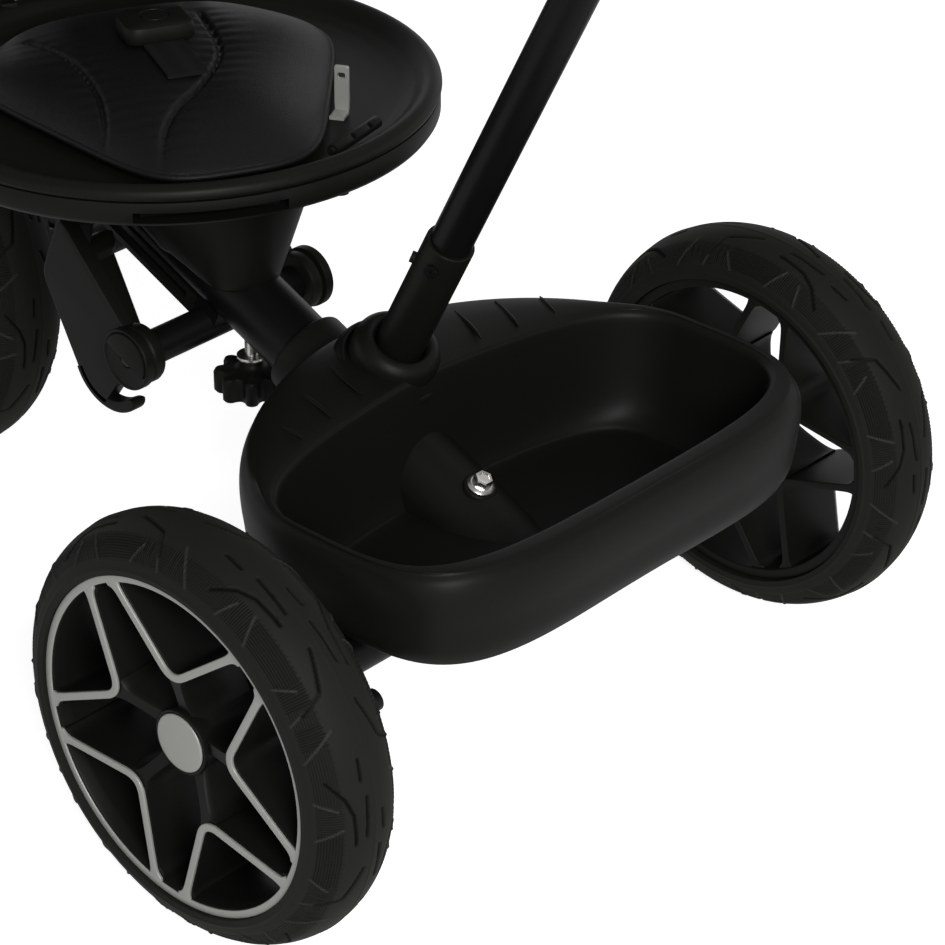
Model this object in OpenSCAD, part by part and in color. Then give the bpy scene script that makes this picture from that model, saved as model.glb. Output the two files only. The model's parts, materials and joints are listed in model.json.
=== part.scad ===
// Toddler push along trike, drawn as an assembly of separate pieces with working joints.
// +X is the child's left, -Y is forward and +Z is up.
// The origin is on the floor, in the middle of the box that holds the whole trike.

/* [Rear wheels] */
// Outside diameter of a rear tyre
rear_wheel_d = 250; // [240:2:270]
// Distance between the middles of the two rear tyres
track = 471; // [465:1:500]
// Diameter of the rear axle
rear_axle_d = 12; // [10:0.5:14]
// Outside diameter of the tube that carries the rear axle
axle_housing_d = 32; // [28:1:34]

/* [Front wheel] */
// Outside diameter of the front tyre
front_wheel_d = 300; // [280:2:304]
// Distance from the seat's swivel axis forward to the front axle
knee_room = 284; // [278:1:330]
// Diameter of the axle that joins the two cranks
crank_axle_d = 12; // [10:0.5:14]
// Length of a crank from axle to pedal
crank_len = 85; // [70:1:92]
// Diameter of a pedal spindle
pedal_spindle_d = 10; // [8:0.5:12]
// Length of a pedal along its spindle
pedal_w = 70; // [55:1:80]
// Length of a pedal along the foot
pedal_l = 64; // [50:1:72]
// Thickness of a pedal
pedal_t = 24; // [20:1:28]

/* [Tyres and rims] */
// Width of every tyre
tyre_w = 60; // [57:1:62]
// Height of the rubber above the rim's edge
tyre_depth = 25; // [21:1:28]
// Distance between the outer faces of a rim's two flanges
rim_w = 52.6; // [48:0.2:54]
// Height of a rim flange over the tyre's seat
flange_h = 2; // [1.5:0.25:5]
// Thickness of a rim flange
flange_t = 4; // [3:0.5:5]
// Wall of the rim under the tyre's seat
barrel_t = 4.5; // [4:0.25:7]
// Depth of a spoke, along the axle
spoke_depth = 51; // [36:1:52]
// Width of a spoke's arm
spoke_w = 4.6; // [4.2:0.2:6]
// Width of the stem between the hub and the fork of a spoke
stem_w = 9; // [7:0.5:12]
// Distance from the axle to the point where a spoke forks
fork_point_r = 44; // [38:1:48]
// Half the angle between the outer ends of a spoke's two arms
arm_half_angle = 28.4; // [24:0.2:30]
// Angle of the first spoke, from the rear towards the top
spoke_phase = 13.7; // [0:0.1:72]
// The same angle on the right rear wheel
right_spoke_phase = 32.2; // [0:0.1:72]
// Diameter of a hub
hub_d = 35; // [32:0.5:40]
// Height of a hub's outer face over the middle of the wheel
hub_face = 20; // [16:0.5:23]
// Thickness of the silver trim
trim_t = 1.2; // [0.8:0.1:1.6]
// Width of the silver lines
trim_w = 4; // [3:0.1:4.2]
// Thickness of a hub cap
hub_cap_t = 1.5; // [1:0.1:3]
// Wall of a wheel bush
bush_wall = 4; // [3:0.25:4.5]

/* [Frame] */
// Diameter of the main tube
tube_d = 42.4; // [40:0.2:44]
// Wall of the main tube
tube_wall = 2; // [1.5:0.1:2.4]
// Slope of the main tube
tube_slope = 24.3; // [23.5:0.1:25]
// Distance of the main tube's first bend in front of the seat's swivel axis
bend_one_ahead = 60; // [56:1:66]
// Slope of the main tube below the seat
level_slope = 10; // [8:0.5:11]
// Distance of the main tube's second bend behind the front axle
bend_two_behind = 107; // [102:1:110]
// Slope of the main tube's front end
rise_slope = 45; // [42:0.5:48]
// Height of the main tube's axis over the rear axle's middle
tube_lift = 6; // [2:0.5:9]
// Outside diameter of the head tube
head_tube_d = 51; // [49.5:0.5:54]
// Wall of the head tube
head_tube_wall = 3; // [2:0.25:3.5]
// Length of the head tube
head_tube_len = 76; // [70:1:84]
// Lean of the steering axis towards the rear
steer_rake = 8; // [7:0.25:9]
// Diameter of the steering column
column_d = 22; // [20:0.5:23]
// Thickness of a steering bush's flange
headset_flange_t = 4; // [3:0.5:5]

/* [Fork and handlebar] */
// Room between the tyre and a fork leg
fork_room = 8; // [6:0.5:12]
// Thickness of a fork leg
fork_leg_t = 12; // [10:0.5:14]
// Room between the tyre's top and the fork's crown
crown_room = 9; // [6:0.5:10]
// Thickness of the fork's crown
crown_t = 16; // [12:0.5:17]
// Length of the steering column above the head tube
column_rise = 104; // [90:1:120]
// Distance of the handlebar in front of the steering column
stem_reach = 45; // [40:1:55]
// Diameter of the handlebar
bar_d = 22; // [20:0.5:24]
// Width of the handlebar over its ends
bar_w = 370; // [340:2:380]
// Rise of the handlebar's ends over its middle
bar_rise = 35; // [20:1:45]
// Set-back of the handlebar's ends from its middle
bar_sweep = 17; // [5:1:20]
// Length of a grip
grip_len = 92; // [80:1:98]
// Diameter of a grip
grip_d = 30; // [28:0.5:32]

/* [Push handle] */
// Distance of the handle's foot in front of the rear axle, along the floor
handle_foot = 111.2; // [108:0.2:114]
// Lean of the push handle towards the rear
handle_lean = 27.5; // [26:0.1:29]
// Diameter of the handle's tube
handle_tube_d = 24.6; // [24:0.2:25.4]
// Wall of the handle's tube
handle_tube_wall = 2.2; // [1.6:0.1:2.6]
// Wall of the sleeve at the handle's foot
sleeve_wall = 2.1; // [1.6:0.1:2.4]
// Height of the sleeve's top along the handle
sleeve_top = 151; // [140:1:160]
// Height of the top of the handle's fixed tube along the handle
fixed_tube_top = 560; // [500:5:600]
// Length of the sliding tube
slide_tube_len = 440; // [400:5:460]
// Length of the sliding tube inside the fixed tube
slide_overlap = 140; // [120:5:180]
// Travel of the sliding tube
slide_travel = 130; // [80:5:140]
// Length of the cross grip
cross_grip_w = 260; // [200:5:300]
// Diameter of the cross grip
cross_grip_d = 34; // [30:0.5:38]
// Diameter of the collar at the handle's foot
collar_d = 54; // [52:0.5:56]
// Diameter of the shaft that carries the handle in the main tube
spigot_d = 20; // [18:0.5:21]

/* [Hidden steering link] */
// Offset of the steering link from the middle of the main tube
link_offset = 15.6; // [15.2:0.1:15.8]
// Diameter of the steering link
link_d = 5; // [4:0.25:5.5]
// Diameter of the two pins that drive the link
link_pin_d = 4; // [3:0.25:4.25]
// Room between a pin and the prongs of the link, on each side
link_play = 0.6; // [0.5:0.05:0.8]

/* [Basket] */
// Height of the basket's lip over the floor
lip_h = 219; // [216:0.5:222]
// Half of the basket's outer width
basket_half_w = 169; // [168:1:178]
// Reach of the basket in front of the rear axle
basket_front = 129; // [127:0.5:133]
// Reach of the basket behind the rear axle
basket_rear = 117; // [113:0.5:124]
// Half of the opening's width
opening_half_w = 160; // [150:1:161]
// Reach of the opening in front of the rear axle
opening_front = 63; // [56:0.5:64]
// Reach of the opening behind the rear axle
opening_rear = 97; // [92:0.5:100]
// Height of the rim's outer skirt
skirt_h = 58; // [50:0.5:60]
// Rise of the ledge in front of the opening
ledge_rise = 12; // [6:0.5:14]
// Height of the basket's floor over the ground
basket_floor_h = 147; // [146:0.5:150]
// Wall of the basket
basket_wall = 3; // [2.5:0.1:3.5]
// Distance of the basket's bolt from the foot of the main tube, along the tube
bolt_at = 32; // [28:0.5:36]
// Length of the clamp around the main tube in front of the basket
clamp_len = 28; // [22:1:32]

/* [Footrests] */
// Diameter of the footrest crossbar
crossbar_d = 21.4; // [20:0.2:23]
// Width of the crossbar over its ends
crossbar_w = 144; // [138:1:150]
// Distance of the crossbar in front of the pedestal's foot, along the tube
crossbar_ahead = 5.4; // [1:0.2:9]
// Width of a footrest
footrest_w = 47; // [44:0.5:47.5]
// Height of a footrest over its pivot
footrest_rise = 65; // [58:1:68]
// Radius of the round lower end of a footrest's cheek
cheek_r = 31.5; // [30:0.5:33]
// Thickness of a footrest
footrest_t = 18; // [14:0.5:20]
// Lean of the lower half of a stowed footrest from level
footrest_lean = 60; // [56:0.5:62]
// Diameter of the cap on each end of the crossbar
pivot_cap_d = 39; // [36:0.5:41]
// Thickness of a cap
pivot_cap_t = 6; // [5:0.5:8]

/* [Seat] */
// Distance of the seat's swivel axis in front of the pedestal's foot
seat_ahead = 54; // [52:0.5:58]
// Turn of the seat from facing forward
seat_turn = 154; // [0:1:180]
// Diameter of the round seat pan
pan_d = 322; // [314:1:326]
// Height of the line between the pan's two halves
parting_h = 341.5; // [339:0.5:344]
// Height of the band below that line
band_h = 14.5; // [13:0.5:16]
// Wall of the seat pan
pan_wall = 3.4; // [2.6:0.2:4]
// Thickness of the seat cushion at its crown
cushion_crown = 26; // [20:0.5:30]
// Reach of the seat cushion in front of the swivel axis
cushion_front = 136; // [130:0.5:138]
// Height of the backrest over its hinge
backrest_h = 320; // [280:2:330]
// Thickness of the backrest's shell
backrest_t = 8; // [6:0.5:9]
// Outward lean of the backrest
backrest_lean = 10; // [8:0.5:11]
// Thickness of the back cushion at its crown
back_crown = 24; // [18:0.5:28]
// Width of the harness webbing
strap_w = 25; // [20:0.5:30]
// Thickness of the harness webbing
strap_t = 2; // [1.5:0.1:3]

/* [Pedestal and clamp] */
// Distance of the clamping stud behind the pedestal's foot
stud_behind = 8; // [4:0.5:12]
// Distance of the pedestal's foot in front of the basket
pedestal_room = 87; // [84:0.5:90]
// Diameter of the clamping stud
stud_d = 8; // [6:0.5:10]
// Height of the pedestal's top over the floor
pedestal_top = 318; // [315:0.5:320]
// Height of the star knob's bottom over the floor
knob_bottom = 160; // [157:0.5:163]
// Thickness of the star knob
knob_t = 16; // [13:0.5:18]
// Diameter of the star knob over its lobes
knob_d = 47; // [43:0.5:52]

/* [Fits] */
// Radial clearance of a part that turns on another
run_gap = 0.05; // [0.02:0.01:0.1]
// Gap between faces that must not touch
free_gap = 0.3; // [0.3:0.05:0.5]
// Gap between parts that are pushed together
seat_gap = 0.05; // [0.02:0.01:0.1]

/* [Hidden] */
$fn = 72;
black_plastic = [0.07, 0.07, 0.068];
black_paint = [0.055, 0.055, 0.055];
tyre_rubber = [0.09, 0.09, 0.088];
silver = [0.62, 0.62, 0.62];
steel = [0.75, 0.75, 0.74];
leatherette = [0.08, 0.08, 0.08];
webbing = [0.05, 0.05, 0.052];

rear_r = rear_wheel_d / 2;
front_r = front_wheel_d / 2;
tube_r = tube_d / 2;
tube_in = tube_r - tube_wall;
axle_r = rear_axle_d / 2;
housing_r = axle_housing_d / 2;
tube_foot_h = rear_r + tube_lift;
handle_tube_r = handle_tube_d / 2;
sleeve_in = handle_tube_r + seat_gap;
sleeve_r = sleeve_in + sleeve_wall;
sleeve_bottom = tube_r + 9;
fixed_tube_bottom = sleeve_bottom + 20;
slide_tube_r = handle_tube_r - handle_tube_wall - run_gap;
slide_bottom = fixed_tube_top - slide_overlap;
slide_top = slide_bottom + slide_tube_len;
cross_grip_h = slide_top + cross_grip_d / 2 - 6;
handle_foot_h = tube_foot_h + handle_foot * tan(tube_slope);

// Places in front of the rear axle.
pedestal_at = basket_front + pedestal_room;
stud_at = pedestal_at - stud_behind;
seat_at = pedestal_at + seat_ahead;
wheelbase = seat_at + knee_room;
bend_one = seat_at + bend_one_ahead;
bend_two = wheelbase - bend_two_behind;

// The trike's box runs from the front of the front tyre to the back of the cross grip.
box_front = wheelbase + front_r;
box_rear = -handle_foot + cross_grip_h * sin(handle_lean) + cross_grip_d / 2;
frame_shift = (box_front - box_rear) / 2;

// Places along the main tube, measured from the point above the rear axle.
bend_one_h = tube_foot_h + bend_one * tan(tube_slope);
bend_one_at = bend_one / cos(tube_slope);
bend_two_h = bend_one_h + (bend_two - bend_one) * tan(level_slope);
level_len = (bend_two - bend_one) / cos(level_slope);
head_meet_h = (bend_two_h - front_r + (wheelbase - bend_two) * tan(rise_slope))
    / (cos(steer_rake) + sin(steer_rake) * tan(rise_slope));
rise_len = (wheelbase - head_meet_h * sin(steer_rake) - bend_two) / cos(rise_slope);
handle_meet_at = handle_foot / cos(tube_slope);
head_bottom = head_meet_h - head_tube_len / 2;
head_top = head_meet_h + head_tube_len / 2;
head_tube_r = head_tube_d / 2;
head_tube_in = head_tube_r - head_tube_wall;
column_r = column_d / 2;
crown_bottom = front_r + crown_room;
column_top = head_top + headset_flange_t + column_rise;
leg_in = tyre_w / 2 + fork_room;
leg_out = leg_in + fork_leg_t;
bar_r = bar_d / 2;
link_pin_r = link_pin_d / 2;
link_r = link_d / 2;
crossbar_r = crossbar_d / 2;
crossbar_at = pedestal_at / cos(tube_slope) + crossbar_ahead;
crossbar_drop = tube_r + crossbar_r + 0.2;
crossbar_y = -crossbar_at * cos(tube_slope) - crossbar_drop * sin(tube_slope);
crossbar_h = tube_foot_h + crossbar_at * sin(tube_slope) - crossbar_drop * cos(tube_slope);
crank_in = leg_out + 4;
crank_t = 12;
pan_r = pan_d / 2;
band_bottom = parting_h - band_h;
turntable_t = 5.7;
pan_bottom = pedestal_top + turntable_t + free_gap;
dish_top = parting_h - 3.5;
pad_bottom = dish_top + free_gap;
hinge_y = pan_r - 13;
hinge_h = parting_h + 19.5;
hinge_pin_r = 4;
shell_in = hinge_y - 6;
shell_bottom = hinge_h + 13;
shell_top = hinge_h + backrest_h;
pad_low = shell_bottom + 12;
pad_high = shell_top - 26;
knob_top = knob_bottom + knob_t;
stud_r = stud_d / 2;

// Joint places in the part's own frame, for the joints that use them.
echo(frame_shift = frame_shift, crossbar_y = crossbar_y + frame_shift, crossbar_h = crossbar_h);
echo(handle_foot_y = frame_shift - handle_foot, handle_foot_h = handle_foot_h, hinge_y = hinge_y,
    hinge_h = hinge_h);
echo(seat_at = seat_at, stud_at = stud_at, wheelbase = wheelbase, brake_at = brake_at,
    slide_travel = slide_travel);
echo(box_rear = box_rear, top = handle_foot_h + cross_grip_h * cos(handle_lean) + cross_grip_d / 2);

// Moves a piece from the frame of the rear axle to the part's own frame.
module place() { translate([0, frame_shift, 0]) children(); }

// Z runs forward along the main tube, and Y points away from its upper side.
module along_tube(at = 0) {
    translate([0, 0, tube_foot_h]) rotate([90 - tube_slope, 0, 0]) translate([0, 0, at]) children();
}

// Z runs forward along the main tube's level part, and then along its rising end.
module along_level(at = 0) {
    translate([0, -bend_one, bend_one_h]) rotate([90 - level_slope, 0, 0]) translate([0, 0, at]) children();
}
module along_rise(at = 0) {
    translate([0, -bend_two, bend_two_h]) rotate([90 - rise_slope, 0, 0]) translate([0, 0, at]) children();
}

// Z runs up the steering axis from the front axle.
module along_steering(at = 0) {
    translate([0, -wheelbase, front_r]) rotate([-steer_rake, 0, 0]) translate([0, 0, at]) children();
}

// Z runs up the push handle from the axis of the main tube.
module along_handle(at = 0) {
    translate([0, -handle_foot, handle_foot_h]) rotate([-handle_lean, 0, 0]) translate([0, 0, at])
        children();
}

// The seat's own frame: its front is towards -Y, before the seat is turned.
module on_seat() { translate([0, -seat_at, 0]) rotate([0, 0, seat_turn]) children(); }

// A wheel's own frame: Z points out of the trike along the axle.
module on_rear_axle(side) { translate([side * track / 2, 0, rear_r]) rotate([0, side * 90, 0]) children(); }
module on_front_axle() { translate([0, -wheelbase, front_r]) rotate([0, 90, 0]) children(); }

module bar_across(x0, x1, r) { translate([x0, 0, 0]) rotate([0, 90, 0]) cylinder(r = r, h = x1 - x0); }
module ring(r_out, r_in, h) {
    difference() {
        cylinder(r = r_out, h = h);
        translate([0, 0, -1]) cylinder(r = r_in, h = h + 2);
    }
}
module both_sides() {
    children();
    mirror([1, 0, 0]) children();
}

// A closed skin through rings of points, from one pole to the other.
module skin(rings, first, last) {
    n = len(rings[0]);
    m = len(rings);
    points = concat([first], [for (loop = rings) each loop], [last]);
    faces = concat(
        [for (k = [0 : n - 1]) [0, 1 + k, 1 + (k + 1) % n]],
        [for (i = [0 : m - 2], k = [0 : n - 1]) [1 + i * n + k, 1 + (i + 1) * n + k,
            1 + (i + 1) * n + (k + 1) % n]],
        [for (i = [0 : m - 2], k = [0 : n - 1]) [1 + i * n + k, 1 + (i + 1) * n + (k + 1) % n,
            1 + i * n + (k + 1) % n]],
        [for (k = [0 : n - 1]) [m * n + 1, 1 + (m - 1) * n + (k + 1) % n, 1 + (m - 1) * n + k]]);
    polyhedron(points = points, faces = faces, convexity = 8);
}

// Wheels
function rim_r(wheel_r) = wheel_r - tyre_depth;
function seat_r(wheel_r) = rim_r(wheel_r) - flange_h;
function barrel_in(wheel_r) = seat_r(wheel_r) - barrel_t;
tread_step = 12;

module tyre(wheel_r) {
    edge = rim_r(wheel_r);
    pocket = rim_w / 2 - flange_t - seat_gap;
    arc = [for (t = [-90 + tread_step / 2 : tread_step : 90]) [
        edge + tyre_depth * cos(t) / cos(tread_step / 2),
        tyre_w / 2 * sin(t)]];
    rotate_extrude() polygon(concat(
        [[edge + seat_gap, -tyre_w / 2]], arc, [[edge + seat_gap, tyre_w / 2]],
        [[edge + seat_gap, pocket], [seat_r(wheel_r) + seat_gap, pocket]],
        [[seat_r(wheel_r) + seat_gap, -pocket], [edge + seat_gap, -pocket]]));
}

// One arm of a forked spoke, as a flat bar from the fork point to the rim.
module arm_flat(wheel_r, turn, w) {
    reach = rim_r(wheel_r) - 6;
    dx = reach * cos(turn) - fork_point_r;
    dy = reach * sin(turn);
    translate([fork_point_r, 0]) rotate(atan2(dy, dx)) translate([0, -w / 2])
        square([norm([dx, dy]) + 12, w]);
}

module star(wheel_r, w, low, high, out_r, phase) {
    intersection() {
        for (k = [0 : 4]) rotate(90 + phase + 72 * k) {
            for (turn = [-arm_half_angle, arm_half_angle])
                translate([0, 0, low]) linear_extrude(high - low) arm_flat(wheel_r, turn, w);
            translate([fork_point_r, 0, low]) cylinder(d = w + 0.5, h = high - low);
        }
        translate([0, 0, low - 1]) cylinder(r = out_r, h = high - low + 2);
    }
}

// The arms end a little below the rim's face.
arm_drop = 1;
module rim(wheel_r, bore_r, spoke_low, two_faced, phase) {
    low = barrel_in(wheel_r);
    hub_low = two_faced ? 2 - rim_w / 2 : -rim_w / 2;
    hub_high = two_faced ? rim_w / 2 - 2 : hub_face;
    stem_low = two_faced ? -rim_w / 2 + 8 : spoke_low;
    difference() {
        union() {
            rotate_extrude() polygon([
                [low, -rim_w / 2], [rim_r(wheel_r), -rim_w / 2],
                [rim_r(wheel_r), -rim_w / 2 + flange_t], [seat_r(wheel_r), -rim_w / 2 + flange_t],
                [seat_r(wheel_r), rim_w / 2 - flange_t], [rim_r(wheel_r), rim_w / 2 - flange_t],
                [rim_r(wheel_r), rim_w / 2], [low, rim_w / 2]]);
            star(wheel_r, spoke_w, spoke_low, rim_w / 2 - arm_drop, low + 2, phase);
            for (k = [0 : 4]) rotate(90 + phase + 72 * k)
                translate([0, stem_w / 2, 0]) rotate([90, 0, 0]) linear_extrude(stem_w) polygon([
                    [hub_d / 2 - 4, stem_low], [fork_point_r + 2, stem_low],
                    [fork_point_r + 2, rim_w / 2 - 1], [hub_d / 2 - 4, hub_face - 4]]);
            translate([0, 0, hub_low]) cylinder(d = hub_d, h = hub_high - hub_low);
        }
        translate([0, 0, hub_low - 1]) cylinder(r = bore_r, h = hub_high - hub_low + 2);
    }
}

module trim(wheel_r, phase) {
    inner = barrel_in(wheel_r) - 0.3;
    translate([0, 0, rim_w / 2 + 0.02]) ring(rim_r(wheel_r), rim_r(wheel_r) - trim_w, trim_t);
    star(wheel_r, trim_w, rim_w / 2 + 0.02 - arm_drop, rim_w / 2 + trim_t - 0.15, inner, phase);
    star(wheel_r, trim_w - 0.3, rim_w / 2 + 0.12, rim_w / 2 + trim_t - 0.3, rim_r(wheel_r) - trim_w / 2,
        phase);
}

rear_bush_r = axle_r + bush_wall;
function side_phase(side) = side > 0 ? spoke_phase : right_spoke_phase;
module rear_rim(side) {
    color(black_plastic) place() on_rear_axle(side)
        rim(rear_r, rear_bush_r + run_gap, rim_w / 2 - spoke_depth, false, side_phase(side));
}
module rear_tyre(side) { color(tyre_rubber) place() on_rear_axle(side) tyre(rear_r); }
module rear_trim(side) { color(silver) place() on_rear_axle(side) trim(rear_r, side_phase(side)); }
module hub_cap(side) {
    color(silver) place() on_rear_axle(side) translate([0, 0, hub_face])
        cylinder(d = hub_d - 0.4, h = hub_cap_t);
}
module left_rear_rim() { rear_rim(1); }
module left_rear_tyre() { rear_tyre(1); }
module left_rear_trim() { rear_trim(1); }
module left_hub_cap() { hub_cap(1); }
module right_rear_rim() { rear_rim(-1); }
module right_rear_tyre() { rear_tyre(-1); }
module right_rear_trim() { rear_trim(-1); }
module right_hub_cap() { hub_cap(-1); }

// Two bushes on each end of the axle, which the hubs turn on.
bush_len = 14;
module rear_wheel_bushes() {
    color(steel) place() for (side = [-1, 1], low = [-rim_w / 2, hub_face - 4 - bush_len])
        on_rear_axle(side) translate([0, 0, low]) ring(rear_bush_r, axle_r + seat_gap, bush_len);
}

module rear_axle() {
    reach = track / 2 + hub_face - 3;
    color(steel) place() translate([0, 0, rear_r]) bar_across(-reach, reach, axle_r);
}

housing_half = track / 2 - rim_w / 2 - 4;
module axle_housing() {
    color(black_paint) place() translate([0, 0, rear_r]) difference() {
        bar_across(-housing_half, housing_half, housing_r);
        bar_across(-housing_half - 1, housing_half + 1, axle_r + seat_gap);
    }
}

// Frame
module handle_hole(r, low, high) { along_handle(low) cylinder(r = r, h = high - low); }
module stud_hole(r, low, high) { translate([0, -stud_at, low]) cylinder(r = r, h = high - low); }
stud_meet_h = tube_foot_h + stud_at * tan(tube_slope);

// The line of the main tube, with a slight swelling at its two bends.
module bent_tube(r, swell, tail) {
    along_tube(-tail) cylinder(r = r, h = bend_one_at + tail);
    along_level() sphere(r = r + swell);
    along_level() cylinder(r = r, h = level_len);
    along_rise() sphere(r = r + swell);
    along_rise() cylinder(r = r, h = rise_len + tail - 4);
}
module main_tube() {
    color(black_paint) place() difference() {
        bent_tube(tube_r, 0.6, 4);
        bent_tube(tube_in, 0.4, 6);
        translate([0, 0, rear_r]) bar_across(-tube_d, tube_d, housing_r + seat_gap);
        along_steering(head_bottom - 40) cylinder(r = head_tube_r + seat_gap, h = head_tube_len + 80);
        handle_hole(spigot_d / 2 + free_gap, 0, tube_d);
        stud_hole(stud_r + free_gap, stud_meet_h - tube_d, stud_meet_h + tube_d);
        along_tube(bolt_at) rotate([-90, 0, 0]) cylinder(r = bolt_r + seat_gap, h = tube_d);
    }
}

module head_tube() {
    color(black_paint) place() difference() {
        along_steering(head_bottom) ring(head_tube_r, head_tube_in, head_tube_len);
        along_rise(rise_len - head_tube_d) cylinder(r = tube_in, h = head_tube_d);
    }
}

headset_depth = 14;
module headset_bush() {
    ring(head_tube_r, column_r + run_gap, headset_flange_t);
    translate([0, 0, headset_flange_t - 0.5])
        ring(head_tube_in - seat_gap, column_r + run_gap, headset_depth);
}
module headset_bushes() {
    color(black_plastic) place() {
        along_steering(head_bottom - headset_flange_t) headset_bush();
        along_steering(head_top + headset_flange_t) mirror([0, 0, 1]) headset_bush();
    }
}

// Basket: rings between the opening's outline and the outer outline, both seen from above.
basket_steps = 48;
function oval(a, front, rear, p_front, p_rear, t) =
    let (b = sin(t) < 0 ? front : rear, p = sin(t) < 0 ? p_front : p_rear)
    pow(pow(abs(cos(t)) / a, p) + pow(abs(sin(t)) / b, p), -1 / p);
function outer_r(t) = oval(basket_half_w, basket_front, basket_rear, 2, 4.5, t);
function opening_r(t) = oval(opening_half_w, opening_front, opening_rear, 2.6, 4.2, t);
function basket_ring(mix, inset, shrink, h, rise = 0) = [for (k = [0 : basket_steps - 1])
    let (t = 360 * k / basket_steps, r =
        (opening_r(t) + mix * (outer_r(t) - opening_r(t))) * shrink - inset)
    [r * cos(t), r * sin(t), h + rise * pow(max(0, -sin(t)), 2)]];
skirt_low = lip_h - skirt_h;
module basket_shell() {
    w = basket_wall;
    f = basket_floor_h;
    g = ledge_rise;
    skin([
        basket_ring(0, 0, 0.5, f - w), basket_ring(0, -1, 0.8, f - w), basket_ring(0, -w, 0.88, f + 2),
        basket_ring(0, -w, 0.94, f + 16), basket_ring(0, -w, 1, skirt_low + 8),
            basket_ring(0, -w - 0.5, 1, lip_h - 14, g / 2),
        basket_ring(1, w + 0.8, 1, lip_h - 14, g), basket_ring(1, w + 5, 1, skirt_low + 8),
            basket_ring(1, w + 9, 1, skirt_low),
        basket_ring(1, 8.5, 1, skirt_low), basket_ring(1, 3.5, 1, skirt_low + 10),
            basket_ring(1, 0, 1, lip_h - 22),
        basket_ring(1, 1.8, 1, lip_h - 9, g), basket_ring(1, 4.4, 1, lip_h - 3.2, g),
            basket_ring(0.5, 0, 1, lip_h, g),
        basket_ring(0, -2.5, 1, lip_h - 0.8, g / 2), basket_ring(0, 0, 1, lip_h - 5, g / 2),
            basket_ring(0, 1, 0.95, f + 18),
        basket_ring(0, 1, 0.9, f + 6), basket_ring(0, 1, 0.8, f), basket_ring(0, 0, 0.5, f)],
        [0, 0, f - w], [0, 0, f]);
}
hump_r = tube_r + free_gap + basket_wall;
bolt_r = 3;
module basket() {
    color(black_plastic) place() difference() {
        union() {
            basket_shell();
            // Raised seat for the handle's collar.
            along_handle(tube_r + 8)
                cylinder(r1 = collar_d / 2 + 8, r2 = collar_d / 2 + 4, h = collar_top - tube_r - 17);
            intersection() {
                union() {
                    along_tube(-24) cylinder(r = hump_r, h = opening_front + 34);
                    along_tube(bolt_at) rotate([-90, 0, 0]) cylinder(r = 10, h = hump_r + 0.5);
                }
                translate([-60, -opening_front - 1, basket_floor_h - 1])
                    cube([120, opening_front + 40, skirt_h]);
            }
        }
        along_tube(-40) cylinder(r = tube_r + free_gap, h = basket_front + 120);
        along_tube(clamp_at - free_gap) cylinder(r = clamp_r + free_gap, h = clamp_len);
        along_tube(bolt_at) rotate([-90, 0, 0]) cylinder(r = bolt_r + free_gap, h = tube_d);
        handle_hole(collar_d / 2 + 0.6, 0, tube_r + 90);
    }
}

module basket_bolt() {
    color(steel) place() along_tube(bolt_at) rotate([-90, 0, 0]) {
        translate([0, 0, tube_r - 8]) cylinder(r = bolt_r, h = hump_r + 1 - tube_r + 8);
        translate([0, 0, hump_r + 0.55]) cylinder(r = 8.5, h = 1.8);
        translate([0, 0, hump_r + 2]) cylinder(r = 5.8, h = 5, $fn = 6);
    }
}

clamp_at = basket_front / cos(tube_slope) + 8;
clamp_r = tube_r + 6;
module basket_clamp() {
    color(black_plastic) place() difference() {
        union() {
            along_tube(clamp_at) cylinder(r = clamp_r, h = clamp_len);
            along_tube(clamp_at) translate([-7, -tube_r - 15, 0]) cube([14, 16, clamp_len]);
        }
        along_tube(clamp_at - 1) cylinder(r = tube_r + seat_gap, h = clamp_len + 2);
        along_tube(clamp_at - 1) translate([-1.5, -tube_r - 16, 0]) cube([3, 18, clamp_len + 2]);
    }
}

collar_top = tube_r + 45;
module handle_collar() {
    r = collar_d / 2;
    color(black_plastic) place() difference() {
        along_handle() rotate_extrude() polygon([
            [sleeve_r + free_gap, 0], [r, 0], [r, collar_top - 12], [r - 1.2, collar_top - 7],
                [r - 4, collar_top - 2.6],
            [r - 7.5, collar_top - 0.4], [r - 9.5, collar_top], [sleeve_r + free_gap, collar_top]]);
        along_tube(-20) cylinder(r = tube_r + seat_gap, h = handle_meet_at + 120);
    }
}

// Pedestal: a tapered tub that stands over the main tube and is clamped to it from below.
module pedestal() {
    low = tube_foot_h + pedestal_at * tan(tube_slope) + 6;
    color(black_plastic) place() difference() {
        hull() {
            translate([0, -pedestal_at, low]) cylinder(r = 25, h = 1, $fn = 32);
            translate([0, -pedestal_at - 34, low + 14]) cylinder(r = 28, h = 1, $fn = 32);
            translate([0, -pedestal_at, pedestal_top - 4]) cylinder(r = 51, h = 4, $fn = 32);
            translate([0, -seat_at - 8, pedestal_top - 4]) cylinder(r = 60, h = 4, $fn = 32);
        }
        bent_tube(tube_r + seat_gap, 0.6, 20);
        stud_hole(stud_r + run_gap, low - 10, stud_meet_h + tube_d + 14);
    }
}

turntable_r = 70;
swivel_boss_r = 15;
module turntable() {
    color(black_plastic) place() translate([0, -seat_at, pedestal_top]) {
        cylinder(r = turntable_r, h = turntable_t);
        cylinder(r = swivel_boss_r, h = turntable_t + 9);
    }
}

module on_crossbar() { translate([0, crossbar_y, crossbar_h]) children(); }
module footrest_crossbar() {
    half = crossbar_w / 2;
    color(black_paint) place() difference() {
        union() {
            on_crossbar() bar_across(-half, half, crossbar_r);
            along_tube(crossbar_at) translate([-16, -crossbar_drop - 2, -9])
                cube([32, crossbar_drop - 8, 18]);
        }
        along_tube(crossbar_at - 20) cylinder(r = tube_r + seat_gap, h = 40);
        on_crossbar() bar_across(half - pivot_screw_len, half + 1, 2.5);
        on_crossbar() bar_across(-half - 1, -half + pivot_screw_len, 2.5);
    }
}

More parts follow.
